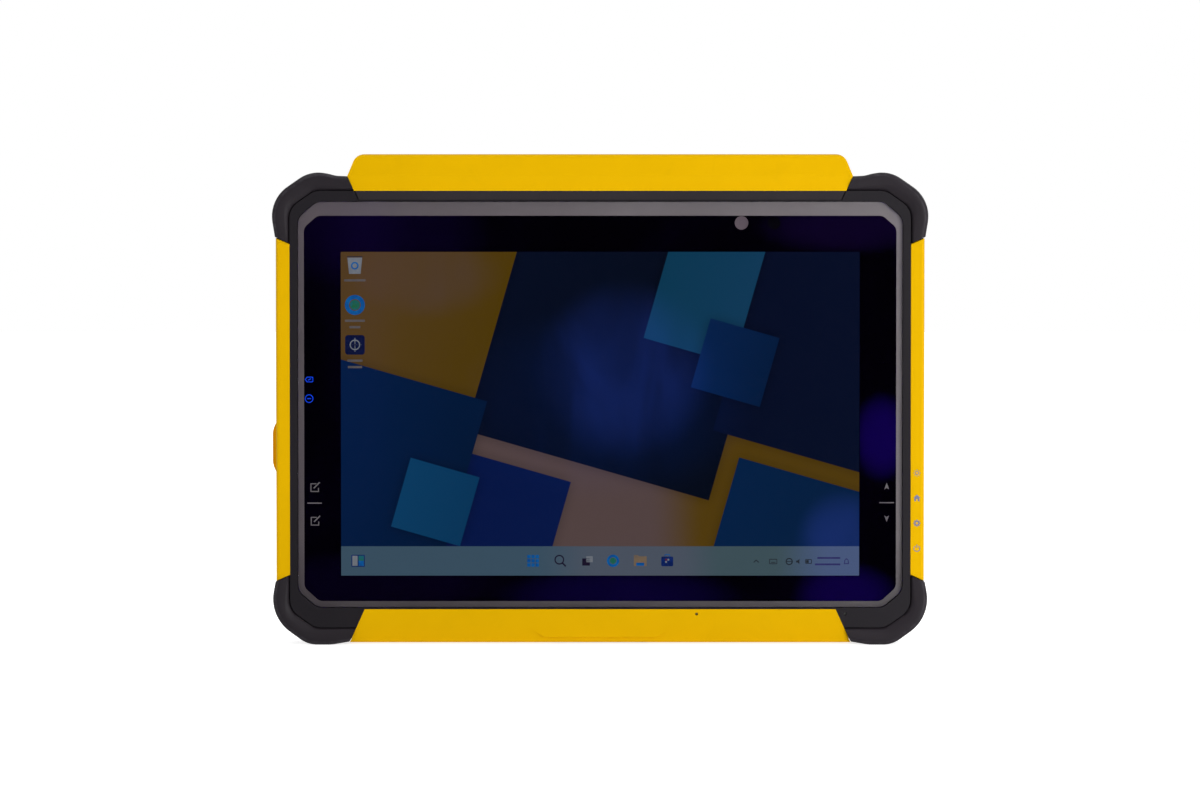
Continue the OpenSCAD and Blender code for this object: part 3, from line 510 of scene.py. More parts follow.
def arc(cx, cy, r, start, stop, n=16):
    turn = [math.radians(start + (stop - start) * i / n) for i in range(n + 1)]
    return [(cx + r * math.cos(a), cy + r * math.sin(a)) for a in turn]


def circle(cx, cy, r, n=40):
    return arc(cx, cy, r, 0, 360, n)[:-1]


def ring(cx, cy, r, width):
    return [circle(cx, cy, r), circle(cx, cy, r - width)]


def rounded(corners, n=6):
    """A closed outline from corners (x, y, radius)."""
    out = []
    for i, (x, y, r) in enumerate(corners):
        p = Vector((x, y))
        if r == 0:
            out.append((x, y))
            continue
        a = (Vector(corners[i - 1][:2]) - p).normalized()
        b = (Vector(corners[(i + 1) % len(corners)][:2]) - p).normalized()
        half = a.angle(b) / 2
        centre = p + (a + b).normalized() * (r / math.sin(half))
        start = p + a * (r / math.tan(half)) - centre
        stop = p + b * (r / math.tan(half)) - centre
        first = math.atan2(start.y, start.x)
        turn = (math.atan2(stop.y, stop.x) - first + 3 * math.pi) % (2 * math.pi) - math.pi
        out += [(centre.x + r * math.cos(first + turn * k / n), centre.y + r * math.sin(first + turn * k / n))
                for k in range(n + 1)]
    return out


def panel(x0, y0, x1, y1, r=0.0):
    """A rectangle with round corners."""
    return rounded([(x0, y0, r), (x1, y0, r), (x1, y1, r), (x0, y1, r)], 5)


def hollow(x0, y0, x1, y1, r, width):
    """A frame of one width: its outer and its inner outline."""
    inner = max(r - width, 0.02)
    return [panel(x0, y0, x1, y1, r), panel(x0 + width, y0 + width, x1 - width, y1 - width, inner)]


def chamfered(half, low, high, cuts_low, cuts_high, r):
    """A rectangle whose corners are cut off and rounded."""
    a, b = cuts_low
    c, d = cuts_high
    return rounded([(a - half, low, r), (half - a, low, r), (half, low + b, r), (half, high - d, r),
                    (half - c, high, r), (c - half, high, r), (-half, high - d, r), (-half, low + b, r)], 8)


def line(points, width):
    """The outline of an open line of one width, with mitred corners."""
    p = [Vector(q) for q in points]
    left, right = [], []
    for i, q in enumerate(p):
        before = (q - p[i - 1]).normalized() if i else (p[1] - q).normalized()
        after = (p[i + 1] - q).normalized() if i < len(p) - 1 else before
        way = (before + after).normalized()
        side = Vector((-way.y, way.x)) * (width / 2 / max(way.dot(before), 0.3))
        left.append(tuple(q + side))
        right.append(tuple(q - side))
    return left + right[::-1]


def moved(shapes, dx, dy, k=1.0):
    """Shapes scaled by k and then moved."""
    return [[[(dx + x * k, dy + y * k) for x, y in loop] for loop in loops] for loops in shapes]


# Symbols round (0, 0), each a list of shapes; a shape is its outer loop and then its holes

def sun_symbol(rays=8, stroke=0.32):
    turns = [math.tau * i / rays for i in range(rays)]
    return [ring(0, 0, 0.85, stroke),
            *[[line([(math.cos(a) * r, math.sin(a) * r) for r in (1.15, 1.6)], stroke)] for a in turns]]


def home_symbol():
    return [[[(-1.55, 0.1), (0, 1.5), (1.55, 0.1), (1.1, 0.1), (1.1, -1.35), (0.35, -1.35), (0.35, -0.4),
              (-0.35, -0.4), (-0.35, -1.35), (-1.1, -1.35), (-1.1, 0.1)]]]


def gear_symbol(teeth=8):
    outer = [arc(0, 0, r, 360 * i / teeth + d, 0, 1)[0] for i in range(teeth)
             for r, d in ((1.12, -16), (1.6, -7), (1.6, 7), (1.12, 16))]
    return [[outer, circle(0, 0, 0.52)]]


def power_symbol():
    band = arc(0, -0.1, 1.45, 122, 418, 30) + arc(0, -0.1, 1.1, 418, 122, 30)
    return [[band], [line([(0, 0.1), (0, 1.6)], 0.36)]]


def write_symbol():
    """A sheet with a pen laid across its corner."""
    sheet = line([(0.6, 1.5), (-1.8, 1.5), (-1.8, -1.9), (1.5, -1.9), (1.5, -0.3)], 0.42)
    return [[sheet], [line([(-0.55, -0.5), (2.05, 2.15)], 0.55)]]


def pointer_symbol(sign):
    """A notched arrow head, up for 1 and down for -1."""
    return [[[(-1.05, -1.4 * sign), (0, -0.7 * sign), (1.05, -1.4 * sign), (0, 1.45 * sign)]]]


def dash_symbol(width):
    return [[line([(-3.05, 0), (3.05, 0)], width)]]


def plug_symbol():
    """A battery's outline with a point at its left end and a bar inside."""
    outer = [(-1.75, 0), (-0.95, 1.15), (1.3, 1.15), (1.7, 0.8), (1.7, -0.8), (1.3, -1.15), (-0.95, -1.15)]
    inner = [(0.82 * x + 0.03, 0.74 * y) for x, y in outer]
    return [[outer, inner], [line([(-0.45, -0.3), (0.75, 0.35)], 0.4)]]


def dash_ring_symbol():
    """A ring round a short dash."""
    return [ring(0, 0, 1.75, 0.3), [line([(-0.8, 0), (0.8, 0)], 0.36)]]


# ---------- solids from outlines ----------

def finish_mesh(bm, name, material, body, smooth=30):
    """Turns a bmesh in metres into a piece that rides on a body."""
    bmesh.ops.recalc_face_normals(bm, faces=bm.faces)
    mesh = bpy.data.meshes.new(name)
    bm.to_mesh(mesh)
    bm.free()
    mesh.materials.append(material)
    for polygon in mesh.polygons:
        polygon.use_smooth = True
    mesh.set_sharp_from_angle(angle=math.radians(smooth))
    piece = bpy.data.objects.new(name, mesh)
    bpy.context.scene.collection.objects.link(piece)
    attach(piece, body)
    return piece


def front(y):
    """Places outlines on a plane facing the viewer, y millimetres back."""
    return lambda a, b, h: (a * MM, (y + h) * MM, b * MM)


def rear(y):
    """Places outlines on a plane facing backwards."""
    return lambda a, b, h: (a * MM, (y - h) * MM, b * MM)


def side(x):
    """Places outlines on a plane facing right; across runs backwards."""
    return lambda a, b, h: ((x - h) * MM, a * MM, b * MM)


def inlay(name, shapes, thick, put, material, body, edge=0.0):
    """Thin solids cut from outlines; edge chamfers the outer face's rim by that much."""
    bm = bmesh.new()
    for loops in shapes:
        flat = [[Vector((x, y, 0)) for x, y in loop] for loop in loops]
        triangles = tessellate_polygon(flat)
        rings = []
        for height in (0.0, thick):
            rings.append([bm.verts.new(put(p.x, p.y, height)) for loop in flat for p in loop])
        for a, b, c in triangles:
            for verts in rings:
                if len({a, b, c}) == 3:
                    bm.faces.new((verts[a], verts[b], verts[c]))
        at = 0
        for loop in flat:
            n = len(loop)
            for i in range(n):
                j = (i + 1) % n
                bm.faces.new((rings[0][at + i], rings[0][at + j], rings[1][at + j], rings[1][at + i]))
            at += n
    if edge:
        soften(bm, edge, 40)
    return finish_mesh(bm, name, material, body)


def soften(bm, width, limit=30):
    """Rounds the sharp edges of a bmesh and marks the new faces for wear."""
    layer = bm.faces.layers.float.get("wear") or bm.faces.layers.float.new("wear")
    edges = [e for e in bm.edges if len(e.link_faces) == 2 and e.calc_face_angle(0) > math.radians(limit)]
    made = bmesh.ops.bevel(bm, geom=edges, offset=width * MM, offset_type="OFFSET", segments=2,
                           profile=0.6, affect="EDGES", clamp_overlap=True, loop_slide=True)
    for face in made["faces"]:
        face[layer] = 1.0


def finished(node, width, material=None):
    """A piece that stands for a CAD node: the same solid with its sharp edges rounded."""
    bm = bmesh.new()
    bm.from_mesh(frame["nodes"][node].data)
    bmesh.ops.remove_doubles(bm, verts=bm.verts, dist=2e-6)
    bmesh.ops.dissolve_limit(bm, angle_limit=math.radians(0.4), verts=bm.verts, edges=bm.edges)
    soften(bm, width)
    bmesh.ops.triangulate(bm, faces=[f for f in bm.faces if len(f.verts) > 12])
    name = node + "_finished"
    piece = finish_mesh(bm, name, material or MAT[SLOT_OF[node]], BODY_OF[node])
    piece.modifiers.new("even", "WEIGHTED_NORMAL").keep_sharp = True
    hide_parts(node)


# ---------- CAD nodes that keep their mesh ----------

for node, obj in frame["nodes"].items():
    obj.data.materials.clear()
    obj.data.materials.append(MAT[SLOT_OF[node]])
    obj.data.set_sharp_from_angle(angle=math.radians(30))
frame["nodes"]["webcam"].data.materials[0] = WEBCAM_BLACK

# ---------- mouldings ----------

EDGES = {
    "top_bar": 0.5, "left_trim": 0.4, "right_trim": 0.4, "bottom_trim": 0.4,
    "front_frame": 0.3, "rear_housing": 0.35, "battery_left": 0.5, "battery_right": 0.5,
    "latch_left": 0.3, "latch_right": 0.3, "key_power": 0.25, "key_settings": 0.25, "key_home": 0.25,
    "key_brightness": 0.25, "cover_glass": 0.15, "dock_connector": 0.15, "camera_window": 0.15,
    "usb_a_socket": 0.1, "usb_c_socket": 0.1, "headset_socket": 0.1, "power_socket": 0.1,
    "port_surround": 0.2, "door_seal": 0.15, "housing_screws": 0.12, "top_bar_screws": 0.12,
    "mount_inserts": 0.12, "door_pin": 0.15,
}
for node, width in EDGES.items():
    finished(node, width)
finished("port_door", 0.3, DOOR_YELLOW)

# The coarse band over the glass stands in its groove with a narrow gap all round
BAND_SLANT = 0.46
BAND_GAP = 0.4
band_top = BAND_HIGH.x - BAND_GAP
band_foot = band_top - (BAND_HIGH.z - BAND_LOW.z) * BAND_SLANT
band_base = BAND_LOW.z + BAND_GAP / 2
band_edge = [(-band_foot, band_base), (band_foot, band_base),
             (band_top, BAND_HIGH.z), (-band_top, BAND_HIGH.z)]
band = inlay("top_band_finished", [[band_edge]], BAND_HIGH.y - BAND_LOW.y, front(BAND_LOW.y),
             MAT["band_plastic"], "case", 0.2)
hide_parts("top_band")

# ---------- glass print ----------

FIELD_HALF, FIELD_LOW, FIELD_HIGH, FIELD_ROUND = 123.9, 18.3, 179.7, 4
FIELD_CUT_LOW, FIELD_CUT_HIGH = (6.3, 5.7), (5.7, 5.0)
RIM_INSET, RIM_CUT, RIM_ROUND = 0.1, (8, 6.8), 6
WINDOW_MARGIN, WINDOW_ROUND = 0.2, 0.3
SENSOR_HOLE, WEBCAM_HOLE = 2.85, 2.7
# How far behind the glass the print and the symbols on it begin
INK_BEHIND, SYMBOL_BEHIND = 0.03, 0.006
SYMBOL_THICK = 0.03


def screen_edge(margin, r):
    """The picture's outline, made larger by margin all round."""
    return panel(-SCREEN_HALF_W - margin, SCREEN_Z - SCREEN_HALF_H - margin,
                 SCREEN_HALF_W + margin, SCREEN_Z + SCREEN_HALF_H + margin, r)


field_edge = chamfered(FIELD_HALF, FIELD_LOW, FIELD_HIGH, FIELD_CUT_LOW, FIELD_CUT_HIGH, FIELD_ROUND)
rim_edge = chamfered(GLASS_HIGH.x - RIM_INSET, GLASS_LOW.z + RIM_INSET, GLASS_HIGH.z - RIM_INSET,
                     RIM_CUT, RIM_CUT, RIM_ROUND)
holes = [screen_edge(WINDOW_MARGIN, WINDOW_ROUND), circle(LIGHT_SENSOR.x, LIGHT_SENSOR.z, SENSOR_HOLE),
         circle(WEBCAM.x, LIGHT_SENSOR.z, WEBCAM_HOLE)]
ink_y = GLASS_BACK + INK_BEHIND
inlay("rim_print", [[rim_edge, field_edge]], PRINT_BACK - ink_y, front(ink_y), RIM_INK, "case")
field = inlay("black_print", [[field_edge, *holes]], PRINT_BACK - ink_y, front(ink_y), MAT["glass_ink"],
              "case")
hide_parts("glass_print")

# Touch symbols on both sides of the picture: shapes, place and scale
TOUCH_SYMBOLS = [
    (write_symbol(), -119.4, 66.1, 0.95),
    (write_symbol(), -119.3, 52.0, 0.95),
    (dash_symbol(0.5), -119.6, 59.4, 1),
    (pointer_symbol(1), 120.0, 66.5, 1),
    (pointer_symbol(-1), 120.0, 52.9, 1),
    (dash_symbol(0.45), 120.0, 59.6, 1),
]
touch = [loops for shapes, x, z, k in TOUCH_SYMBOLS for loops in moved(shapes, x, z, k)]
STATUS_Z = (111.2, 103.2)
status = moved(plug_symbol(), STATUS_X, STATUS_Z[0]) + moved(dash_ring_symbol(), STATUS_X, STATUS_Z[1])
symbol_face = front(GLASS_BACK + SYMBOL_BEHIND)
inlay("touch_symbols", touch, SYMBOL_THICK, symbol_face, SYMBOL_GREY, "case")
inlay("status_symbols", status, SYMBOL_THICK, symbol_face, BLUE_LIGHT, "case")

# ---------- picture and its symbols ----------

# The picture, its symbols and what lies on them stand out from the print's back, one in front of the other
PICTURE_THICK = 0.02
PICTURE_FRONT, DRAWN_FRONT, TOP_FRONT = 0.03, 0.055, 0.08
PICTURE_ROUND = 0.2
inlay("screen_picture", [[screen_edge(0, PICTURE_ROUND)]], PICTURE_THICK, front(PRINT_BACK - PICTURE_FRONT),
      wallpaper(), "case")

drawn = {key: [] for key in PICTURE_INK}


def draw(key, shapes, x, z, k=1.0):
    """Adds shapes at (x, z) from the picture's middle to that colour's inlay."""
    drawn[key] += moved(shapes, x, SCREEN_Z + z, k)


def bars(key, x, z, widths, pitch=2.7, height=0.95):
    """Plain bars where a label's lines stand."""
    for i, w in enumerate(widths):
        draw(key, [[panel(-w / 2, -height / 2, w / 2, height / 2, 0.3)]], x, z - i * pitch)


def swirl(x, z, r):
    """A round badge: a blue ring round a teal heart."""
    draw("blue", [ring(0, 0, r, r * 0.42)], x, z)
    draw("teal", [[circle(0, 0, r * 0.5)]], x, z)


DESK_X, DESK_Z = -102.6, (62.2, 45.6, 28.9)
draw("white", [[[(-2.4, -3.6), (2.4, -3.6), (3.1, 3.2), (-3.1, 3.2)]]], DESK_X, DESK_Z[0])
draw("grey", [[line([(-3.2, 3.55), (3.2, 3.55)], 0.35)]], DESK_X, DESK_Z[0])
swirl(DESK_X, DESK_Z[1], 4.2)
draw("night", [[panel(-4.1, -4.1, 4.1, 4.1, 1.2)]], DESK_X, DESK_Z[2])
draw("white", [[line([(-3.6, 0), (3.6, 0)], 0.5)], [line([(0, 0.3), (0, 3.6)], 0.5)],
               [line([(0, -0.3), (0, -3.6)], 0.5)]], DESK_X, DESK_Z[2], 0.8)
DESK_LABELS = [([9.0], 6.3), ([8.4, 4.6], 6.6), ([6.4, 6.0], 6.6)]
for z, (widths, drop) in zip(DESK_Z, DESK_LABELS):
    bars("label", DESK_X, z - drop, widths)

BAR_Z = -61.6
START_X = -101.4
TASKS_X = (-28.1, -16.8, -5.4, 5.4, 16.8, 28.1)
DOT, DOT_STEPS = 0.72, (-1.75, 0, 1.75)
draw("deep", [hollow(-2.8, -2.5, 2.8, 2.5, 0.3, 0.35), [panel(-0.2, -2.2, 0.15, 2.2)]], START_X, BAR_Z)
draw("white", [[panel(-2.4, -2.1, -0.25, 2.1)]], START_X, BAR_Z)
draw("blue", [[panel(0.2, -2.1, 2.4, 0.0)]], START_X, BAR_Z)
draw("teal", [[panel(0.2, 0.05, 2.4, 2.1)]], START_X, BAR_Z)
draw("blue", [[panel(a - DOT, b - DOT, a + DOT, b + DOT, 0.2)] for a in DOT_STEPS for b in DOT_STEPS],
     TASKS_X[0], BAR_Z)
draw("dark", [ring(-0.3, 0.45, 2.05, 0.52), [line([(1.0, -0.9), (2.4, -2.35)], 0.62)]], TASKS_X[1], BAR_Z)
draw("dark", [[panel(-2.1, -2.0, 1.1, 1.0, 0.15)]], TASKS_X[2], BAR_Z)
draw("white", [[panel(-0.6, -0.6, 2.1, 1.9, 0.15)]], TASKS_X[2] + 0.2, BAR_Z)
swirl(TASKS_X[3], BAR_Z, 2.6)
folder = [(-2.7, -2.2), (2.7, -2.2), (2.7, 1.9), (-0.5, 1.9), (-1.0, 2.4), (-2.7, 2.4)]
draw("tan", [[folder]], TASKS_X[4], BAR_Z)
draw("deep", [[panel(-2.5, -2.3, 2.5, 1.8, 0.6)]], TASKS_X[5], BAR_Z)

# The small symbols at the bar's right end, left to right: colour, shapes, place across and lift
loudspeaker = [(-0.9, -0.4), (-0.3, -0.4), (0.5, -1.1), (0.5, 1.1), (-0.3, 0.4), (-0.9, 0.4)]
bell = [(-0.8, -0.7), (-0.7, 0.5), (0, 1.2), (0.7, 0.5), (0.8, -0.7)]
TRAY_Z = -61.9
TRAY = [
    ("grey", [[line([(-1.1, -0.4), (0, 0.6), (1.1, -0.4)], 0.4)]], 65.4, 0),
    ("grey", [hollow(-1.7, -1.1, 1.7, 1.1, 0.3, 0.3), [line([(-0.9, -0.35), (0.9, -0.35)], 0.3)]], 72.5, 0),
    ("grey", [ring(0, 0, 1.5, 0.45), [line([(-1.1, 0), (1.1, 0)], 0.3)]], 79.2, 0),
    ("grey", [[loudspeaker]], 83.0, 0),
    ("grey", [hollow(-1.5, -0.95, 1.3, 0.95, 0.35, 0.3), [panel(-1.1, -0.55, 0, 0.55, 0.1)]], 87.4, 0),
    ("violet", [[line([(0, 0), (9.6, 0)], 0.75)], [line([(-1.0, -2.7), (9.6, -2.7)], 0.75)]], 91.0, 1.5),
    ("violet", [[line([(-1.1, -0.9), (1.1, -0.9)], 0.35)], [line(bell, 0.35)]], 103.2, 0),
]
for key, shapes, x, lift in TRAY:
    draw(key, shapes, x, TRAY_Z + lift)

# The blue ring in the bin, the folder's clip and the bag's tags lie on top of other symbols
TOP_INLAYS = [
    ("bin_ring", "blue", moved([ring(0, 0, 1.6, 0.6)], DESK_X, SCREEN_Z + DESK_Z[0] - 0.2)),
    ("target_ring", "white", moved([ring(0, 0, 2.2, 0.45)], DESK_X, SCREEN_Z + DESK_Z[2])),
    ("folder_clip", "blue", moved([[panel(-1.7, -2.1, 1.7, -0.8, 0.25)]], TASKS_X[4], SCREEN_Z + BAR_Z)),
    ("bag_tags", "white", moved([[panel(-0.85, -0.85, -0.1, -0.1, 0.1)], [panel(0.1, 0.1, 0.85, 0.85, 0.1)]],
                                TASKS_X[5], SCREEN_Z + BAR_Z)),
    ("bag_tags_warm", "red", moved([[panel(-0.85, 0.1, -0.1, 0.85, 0.1)]], TASKS_X[5], SCREEN_Z + BAR_Z)),
    ("bag_handle", "blue", moved([[line([(-1.1, 1.9), (-0.8, 2.6), (0.8, 2.6), (1.1, 1.9)], 0.35)]],
                                 TASKS_X[5], SCREEN_Z + BAR_Z)),
]
for key, shapes in drawn.items():
    if shapes:
        inlay("screen_" + key, shapes, PICTURE_THICK, front(PRINT_BACK - DRAWN_FRONT), PICTURE_INK[key],
              "case")
for name, key, shapes in TOP_INLAYS:
    inlay("screen_" + name, shapes, PICTURE_THICK, front(PRINT_BACK - TOP_FRONT), PICTURE_INK[key],
          "case")

# ---------- symbols on the right trim and on its keys ----------

SYMBOLS = {"key_brightness": sun_symbol(), "key_home": home_symbol(), "key_settings": gear_symbol(),
           "key_power": power_symbol()}
SYMBOL_X = 132.55
ON_TRIM_SCALE, ON_KEY_SCALE = 0.97, 1.3
# How far a printed symbol stands proud
PROUD = 0.02
on_trim = []
for key, shapes in SYMBOLS.items():
    middle = middle_mm(key)
    on_trim += moved(shapes, SYMBOL_X, middle.z, ON_TRIM_SCALE)
    inlay(key + "_symbol", moved(shapes, middle.y, middle.z, ON_KEY_SCALE), 0.04,
          side(box_mm(key)[1].x + PROUD), TRIM_SYMBOL, BODY_OF[key])
inlay("trim_symbols", on_trim, 0.05, front(TRIM_FRONT - PROUD), TRIM_SYMBOL, "case")

# ---------- corner bumpers ----------

# A rounded corner's outline stays this far inside its corner point
TOP_CORNER_GAP = 1.25
LOW_CORNER_GAP = 1.55
STATIONS = 72
# The section starts this far off the case and slopes up over this width, more towards the middle of the guard
CASE_GAP, SLOPE_END, SLOPE_MORE = 0.12, 1.0, 2.2
# The front face: its crown, where it ends short of the outside, and the shares of its width that get a point
CROWN, FACE_END, FACE_SHARES = 0.25, 2.4, (0.12, 0.4, 0.75, 1.0)
# The outer edge: its radius and the turns, in degrees, that get a point
OUTER_ROUND, ROUND_TURNS = 2.2, (12, 26, 42, 60, 78, 90)
# The groove round the outside: its depth and its edges and foot, front to back
GROOVE_DEPTH = 0.5
GROOVE_FRONT, GROOVE_FOOT_FRONT, GROOVE_FOOT_BACK, GROOVE_BACK = -5.2, -4.6, -3.4, -2.8
# The section's sides on the outer edge, where rubber wears; their lighter tone is also a painted edge
# highlight
WORN_AND_HIGHLIGHT_SIDES = range(8, 13)


def along(points, share):
    """The point at that share of a line's length."""
    steps = [(Vector(b) - Vector(a)).length for a, b in zip(points, points[1:])]
    left = share * sum(steps)
    for (a, b), step in zip(zip(points, points[1:]), steps):
        if left <= step or (a, b) == (points[-2], points[-1]):
            return Vector(a).lerp(Vector(b), min(left / step, 1))
        left -= step


def soft_line(corners, n=10):
    """An open line from corners (x, y, radius)."""
    first, last = corners[0], corners[-1]
    far_first = (2 * first[0] - corners[1][0], 2 * first[1] - corners[1][1], 0)
    return rounded([first, *corners[1:-1], last, far_first], n)[:-1]


def bumper_section(reach, share):
    """A guard's closed section at that share of its length, as (distance from the case, y)."""
    face = -BUMPER_HIGH.y
    slope = SLOPE_END + SLOPE_MORE * math.sin(math.pi * share) ** 1.5
    flat = reach - slope - FACE_END
    groove = GROOVE_DEPTH * min(1.0, 4 * share * (1 - share) * 1.6)
    half = [(0.0, face + 2.2), (0.3, face + 1.5), (slope * 0.55, face + 0.75), (slope, face + CROWN)]
    half += [(slope + flat * k, face + CROWN * (1 - k) ** 2) for k in FACE_SHARES]
    half += [(reach - OUTER_ROUND + OUTER_ROUND * math.sin(t), face + OUTER_ROUND * (1 - math.cos(t)))
             for t in (math.radians(d) for d in ROUND_TURNS)]
    half += [(reach, GROOVE_FRONT), (reach - groove, GROOVE_FOOT_FRONT),
             (reach - groove, GROOVE_FOOT_BACK), (reach, GROOVE_BACK)]
    return half + [(d, -y) for d, y in reversed(half)]


def bumper(node, outer, inner, mirrored):
    """A soft corner guard: a rounded section swept from the case's edge to the outer line."""
    sign = -1 if mirrored else 1
    bm = bmesh.new()
    layer = bm.faces.layers.float.new("wear")
    rings = []
    for i in range(STATIONS + 1):
        share = i / STATIONS
        a, b = along(inner, share), along(outer, share)
        way = (b - a).normalized()
        reach = (b - a).length - CASE_GAP
        a = a + way * CASE_GAP
        rings.append([bm.verts.new((sign * (a.x + way.x * d) * MM, y * MM, (a.y + way.y * d) * MM))
                      for d, y in bumper_section(reach, share)])
    n = len(rings[0])
    for first, second in zip(rings, rings[1:]):
        for i in range(n):
            j = (i + 1) % n
            face = bm.faces.new((first[i], first[j], second[j], second[i]))
            # Outer edge faces get the lighter rubber: wear and a painted edge highlight
            if i in WORN_AND_HIGHLIGHT_SIDES or (n - 2 - i) in WORN_AND_HIGHLIGHT_SIDES:
                face[layer] = 1.0
    bm.faces.new(rings[0])
    bm.faces.new(rings[-1])
    piece = finish_mesh(bm, node + "_finished", MAT["bumper_rubber"], "case", 38)
    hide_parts(node)


CASE_X = CASE_HIGH.x
CUT_X, CUT_Z, CUT_ROUND = 10.5, 7.4, 8
# Corners (x, z, radius) of the case's edge under each guard and of its outer line, from the side trim on
top_inner = soft_line([(CASE_X, 168.1, 0), (CASE_X, CASE_HIGH.z - CUT_Z, CUT_ROUND),
                       (CASE_X - CUT_X, CASE_HIGH.z, CUT_ROUND), (102.95, CASE_HIGH.z, 0)])
top_outer = soft_line([(136.0, 170.9, 0), (BUMPER_HIGH.x + TOP_CORNER_GAP, 186.4, 15), (120.3, 199.0, 14),
                       (111.0, 196.4, 20), (105.75, 196.2, 0)])
low_inner = soft_line([(CASE_X, 29.2, 0), (CASE_X, CASE_LOW.z + CUT_Z, CUT_ROUND),
                       (CASE_X - CUT_X, CASE_LOW.z, CUT_ROUND), (102.2, CASE_LOW.z, 0)])
low_outer = soft_line([(136.0, 26.4, 0), (BUMPER_HIGH.x + LOW_CORNER_GAP, 11.8, 17), (122.5, 0.05, 12),
                       (112.3, 0.05, 20), (105.05, 1.3, 0)])
for where, outer, inner in (("top", top_outer, top_inner), ("bottom", low_outer, low_inner)):
    for hand in ("left", "right"):
        bumper(f"bumper_{where}_{hand}", outer, inner, hand == "left")

# ---------- details of the back ----------

LABEL_HALF, LABEL_LOW, LABEL_HIGH, LABEL_ROUND = 25.2, 62.8, 129.2, 2.4
# A printed frame inside the label's edge, and the battery sign in it, left of the middle
FRAME_INSET, FRAME_ROUND, FRAME_WIDTH = 1.0, 1.6, 0.35
SIGN_LEFT, SIGN_Z, SIGN_SCALE = 17, 119.5, 2.4
# Plain bars stand for the label's lines: left end from the middle, full width, foot and top of one, pitch
ROW_LEFT, ROW_WIDTH, ROW_LOW, ROW_HIGH, ROW_PITCH = 21, 42, 108, 109.3, 3.6
ROW_SHARES = (0.92, 0.7, 0.98, 0.84, 0.55, 0.0, 0.78, 0.9, 0.62, 0.95, 0.4)
# The charge lights under the label: left end of the first from the middle, width, foot, top and pitch
LEVELS, LEVEL_LEFT, LEVEL_WIDTH, LEVEL_LOW, LEVEL_HIGH, LEVEL_PITCH = 4, 12, 4.8, 54.0, 56.2, 6.4
LOCK_DROP, LOCK_SCALE = 1.9, 0.6
CAMERA_RING, CAMERA_RING_WIDTH = 3.6, 1.2
# The label and its print lie this deep in the pack's face
LABEL_THICK, LABEL_SUNK, LABEL_PRINT_SUNK = 0.12, 0.26, 0.245
# The charge lights and the camera's ring stand out this far
RAISED, RAISED_THICK, RAISED_EDGE = 0.06, 0.1, 0.03


def pack_details(hand):
    """A pack's label with its print, and its charge lights."""
    pack = "battery_" + hand
    high = box_mm(pack)[1]
    middle = middle_mm(pack).x
    label = panel(middle - LABEL_HALF, LABEL_LOW, middle + LABEL_HALF, LABEL_HIGH, LABEL_ROUND)
    inlay(f"pack_label_{hand}", [[label]], LABEL_THICK, rear(high.y - LABEL_SUNK), LABEL, BODY_OF[pack])
    half = LABEL_HALF - FRAME_INSET
    frame_line = hollow(middle - half, LABEL_LOW + FRAME_INSET, middle + half, LABEL_HIGH - FRAME_INSET,
                        FRAME_ROUND, FRAME_WIDTH)
    printed = [frame_line, *moved(plug_symbol(), middle - SIGN_LEFT, SIGN_Z, SIGN_SCALE)]
    left = middle - ROW_LEFT
    rows = [(share * ROW_WIDTH, i * ROW_PITCH) for i, share in enumerate(ROW_SHARES) if share]
    printed += [[panel(left, ROW_LOW - down, left + width, ROW_HIGH - down, 0.3)] for width, down in rows]
    inlay(f"pack_print_{hand}", printed, SYMBOL_THICK, rear(high.y - LABEL_PRINT_SUNK), SYMBOL_DARK,
          BODY_OF[pack])
    lefts = [middle - LEVEL_LEFT + i * LEVEL_PITCH for i in range(LEVELS)]
    levels = [[panel(x, LEVEL_LOW, x + LEVEL_WIDTH, LEVEL_HIGH, 0.8)] for x in lefts]
    inlay(f"pack_levels_{hand}", levels, RAISED_THICK, rear(high.y + RAISED), MAT["flash_lens"],
          BODY_OF[pack], RAISED_EDGE)


def catch_symbol(hand):
    """A small padlock on a catch."""
    catch = "latch_" + hand
    high = box_mm(catch)[1]
    lock = [[arc(0, 1.0, 1.3, 0, 180, 12) + arc(0, 1.0, 0.8, 180, 0, 12)], [panel(-1.7, -1.6, 1.7, 1.0, 0.3)]]
    inlay(f"latch_symbol_{hand}", moved(lock, middle_mm(catch).x, high.z - LOCK_DROP, LOCK_SCALE), 0.05,
          rear(high.y + PROUD), MAT["case_plastic"], BODY_OF[catch])


for hand in ("left", "right"):
    pack_details(hand)
    catch_symbol(hand)

camera_middle = middle_mm("rear_camera")
camera_face = rear(box_mm("rear_camera")[1].y + RAISED)
inlay("camera_ring", [ring(camera_middle.x, camera_middle.z, CAMERA_RING, CAMERA_RING_WIDTH)], RAISED_THICK,
      camera_face, MAT["steel"], "case", RAISED_EDGE)

# ---------- studio ----------

LOW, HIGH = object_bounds()
CENTRE = (LOW + HIGH) / 2
FLOOR_RADIUS = 6.0
# How brightly the floor glows for the camera, so that it stays white, and for everything else
FLOOR_SEEN, FLOOR_UNSEEN = 0.8, 0.16
# The light from all round, and the bands it breaks into behind the viewer
AMBIENT = 0.5
WORLD_BANDS_STRETCH = (16, 1, 5)
WORLD_BANDS_PLACE = (4.3, 0.0, 4.7)
# Soft square lights: name, place from the object's middle, side and power
LIGHTS = [
    ("key", (0.75, -0.95, 0.0), 0.6, 10.3),
    ("fill", (-1.9, -1.5, 0.7), 1.2, 2.2),
    ("top", (0.0, -0.1, 2.2), 1.8, 12.5),
    ("rear", (1.1, 1.5, 0.9), 0.8, 9),
]
DISTANCE = 2.2
ELEVATION = math.radians(2.0)
SENSOR = 36
# The object's share of the picture's width, and how far below its middle the camera stands
FRAME_SHARE = 0.5437
AIM_DROP = 0.0005


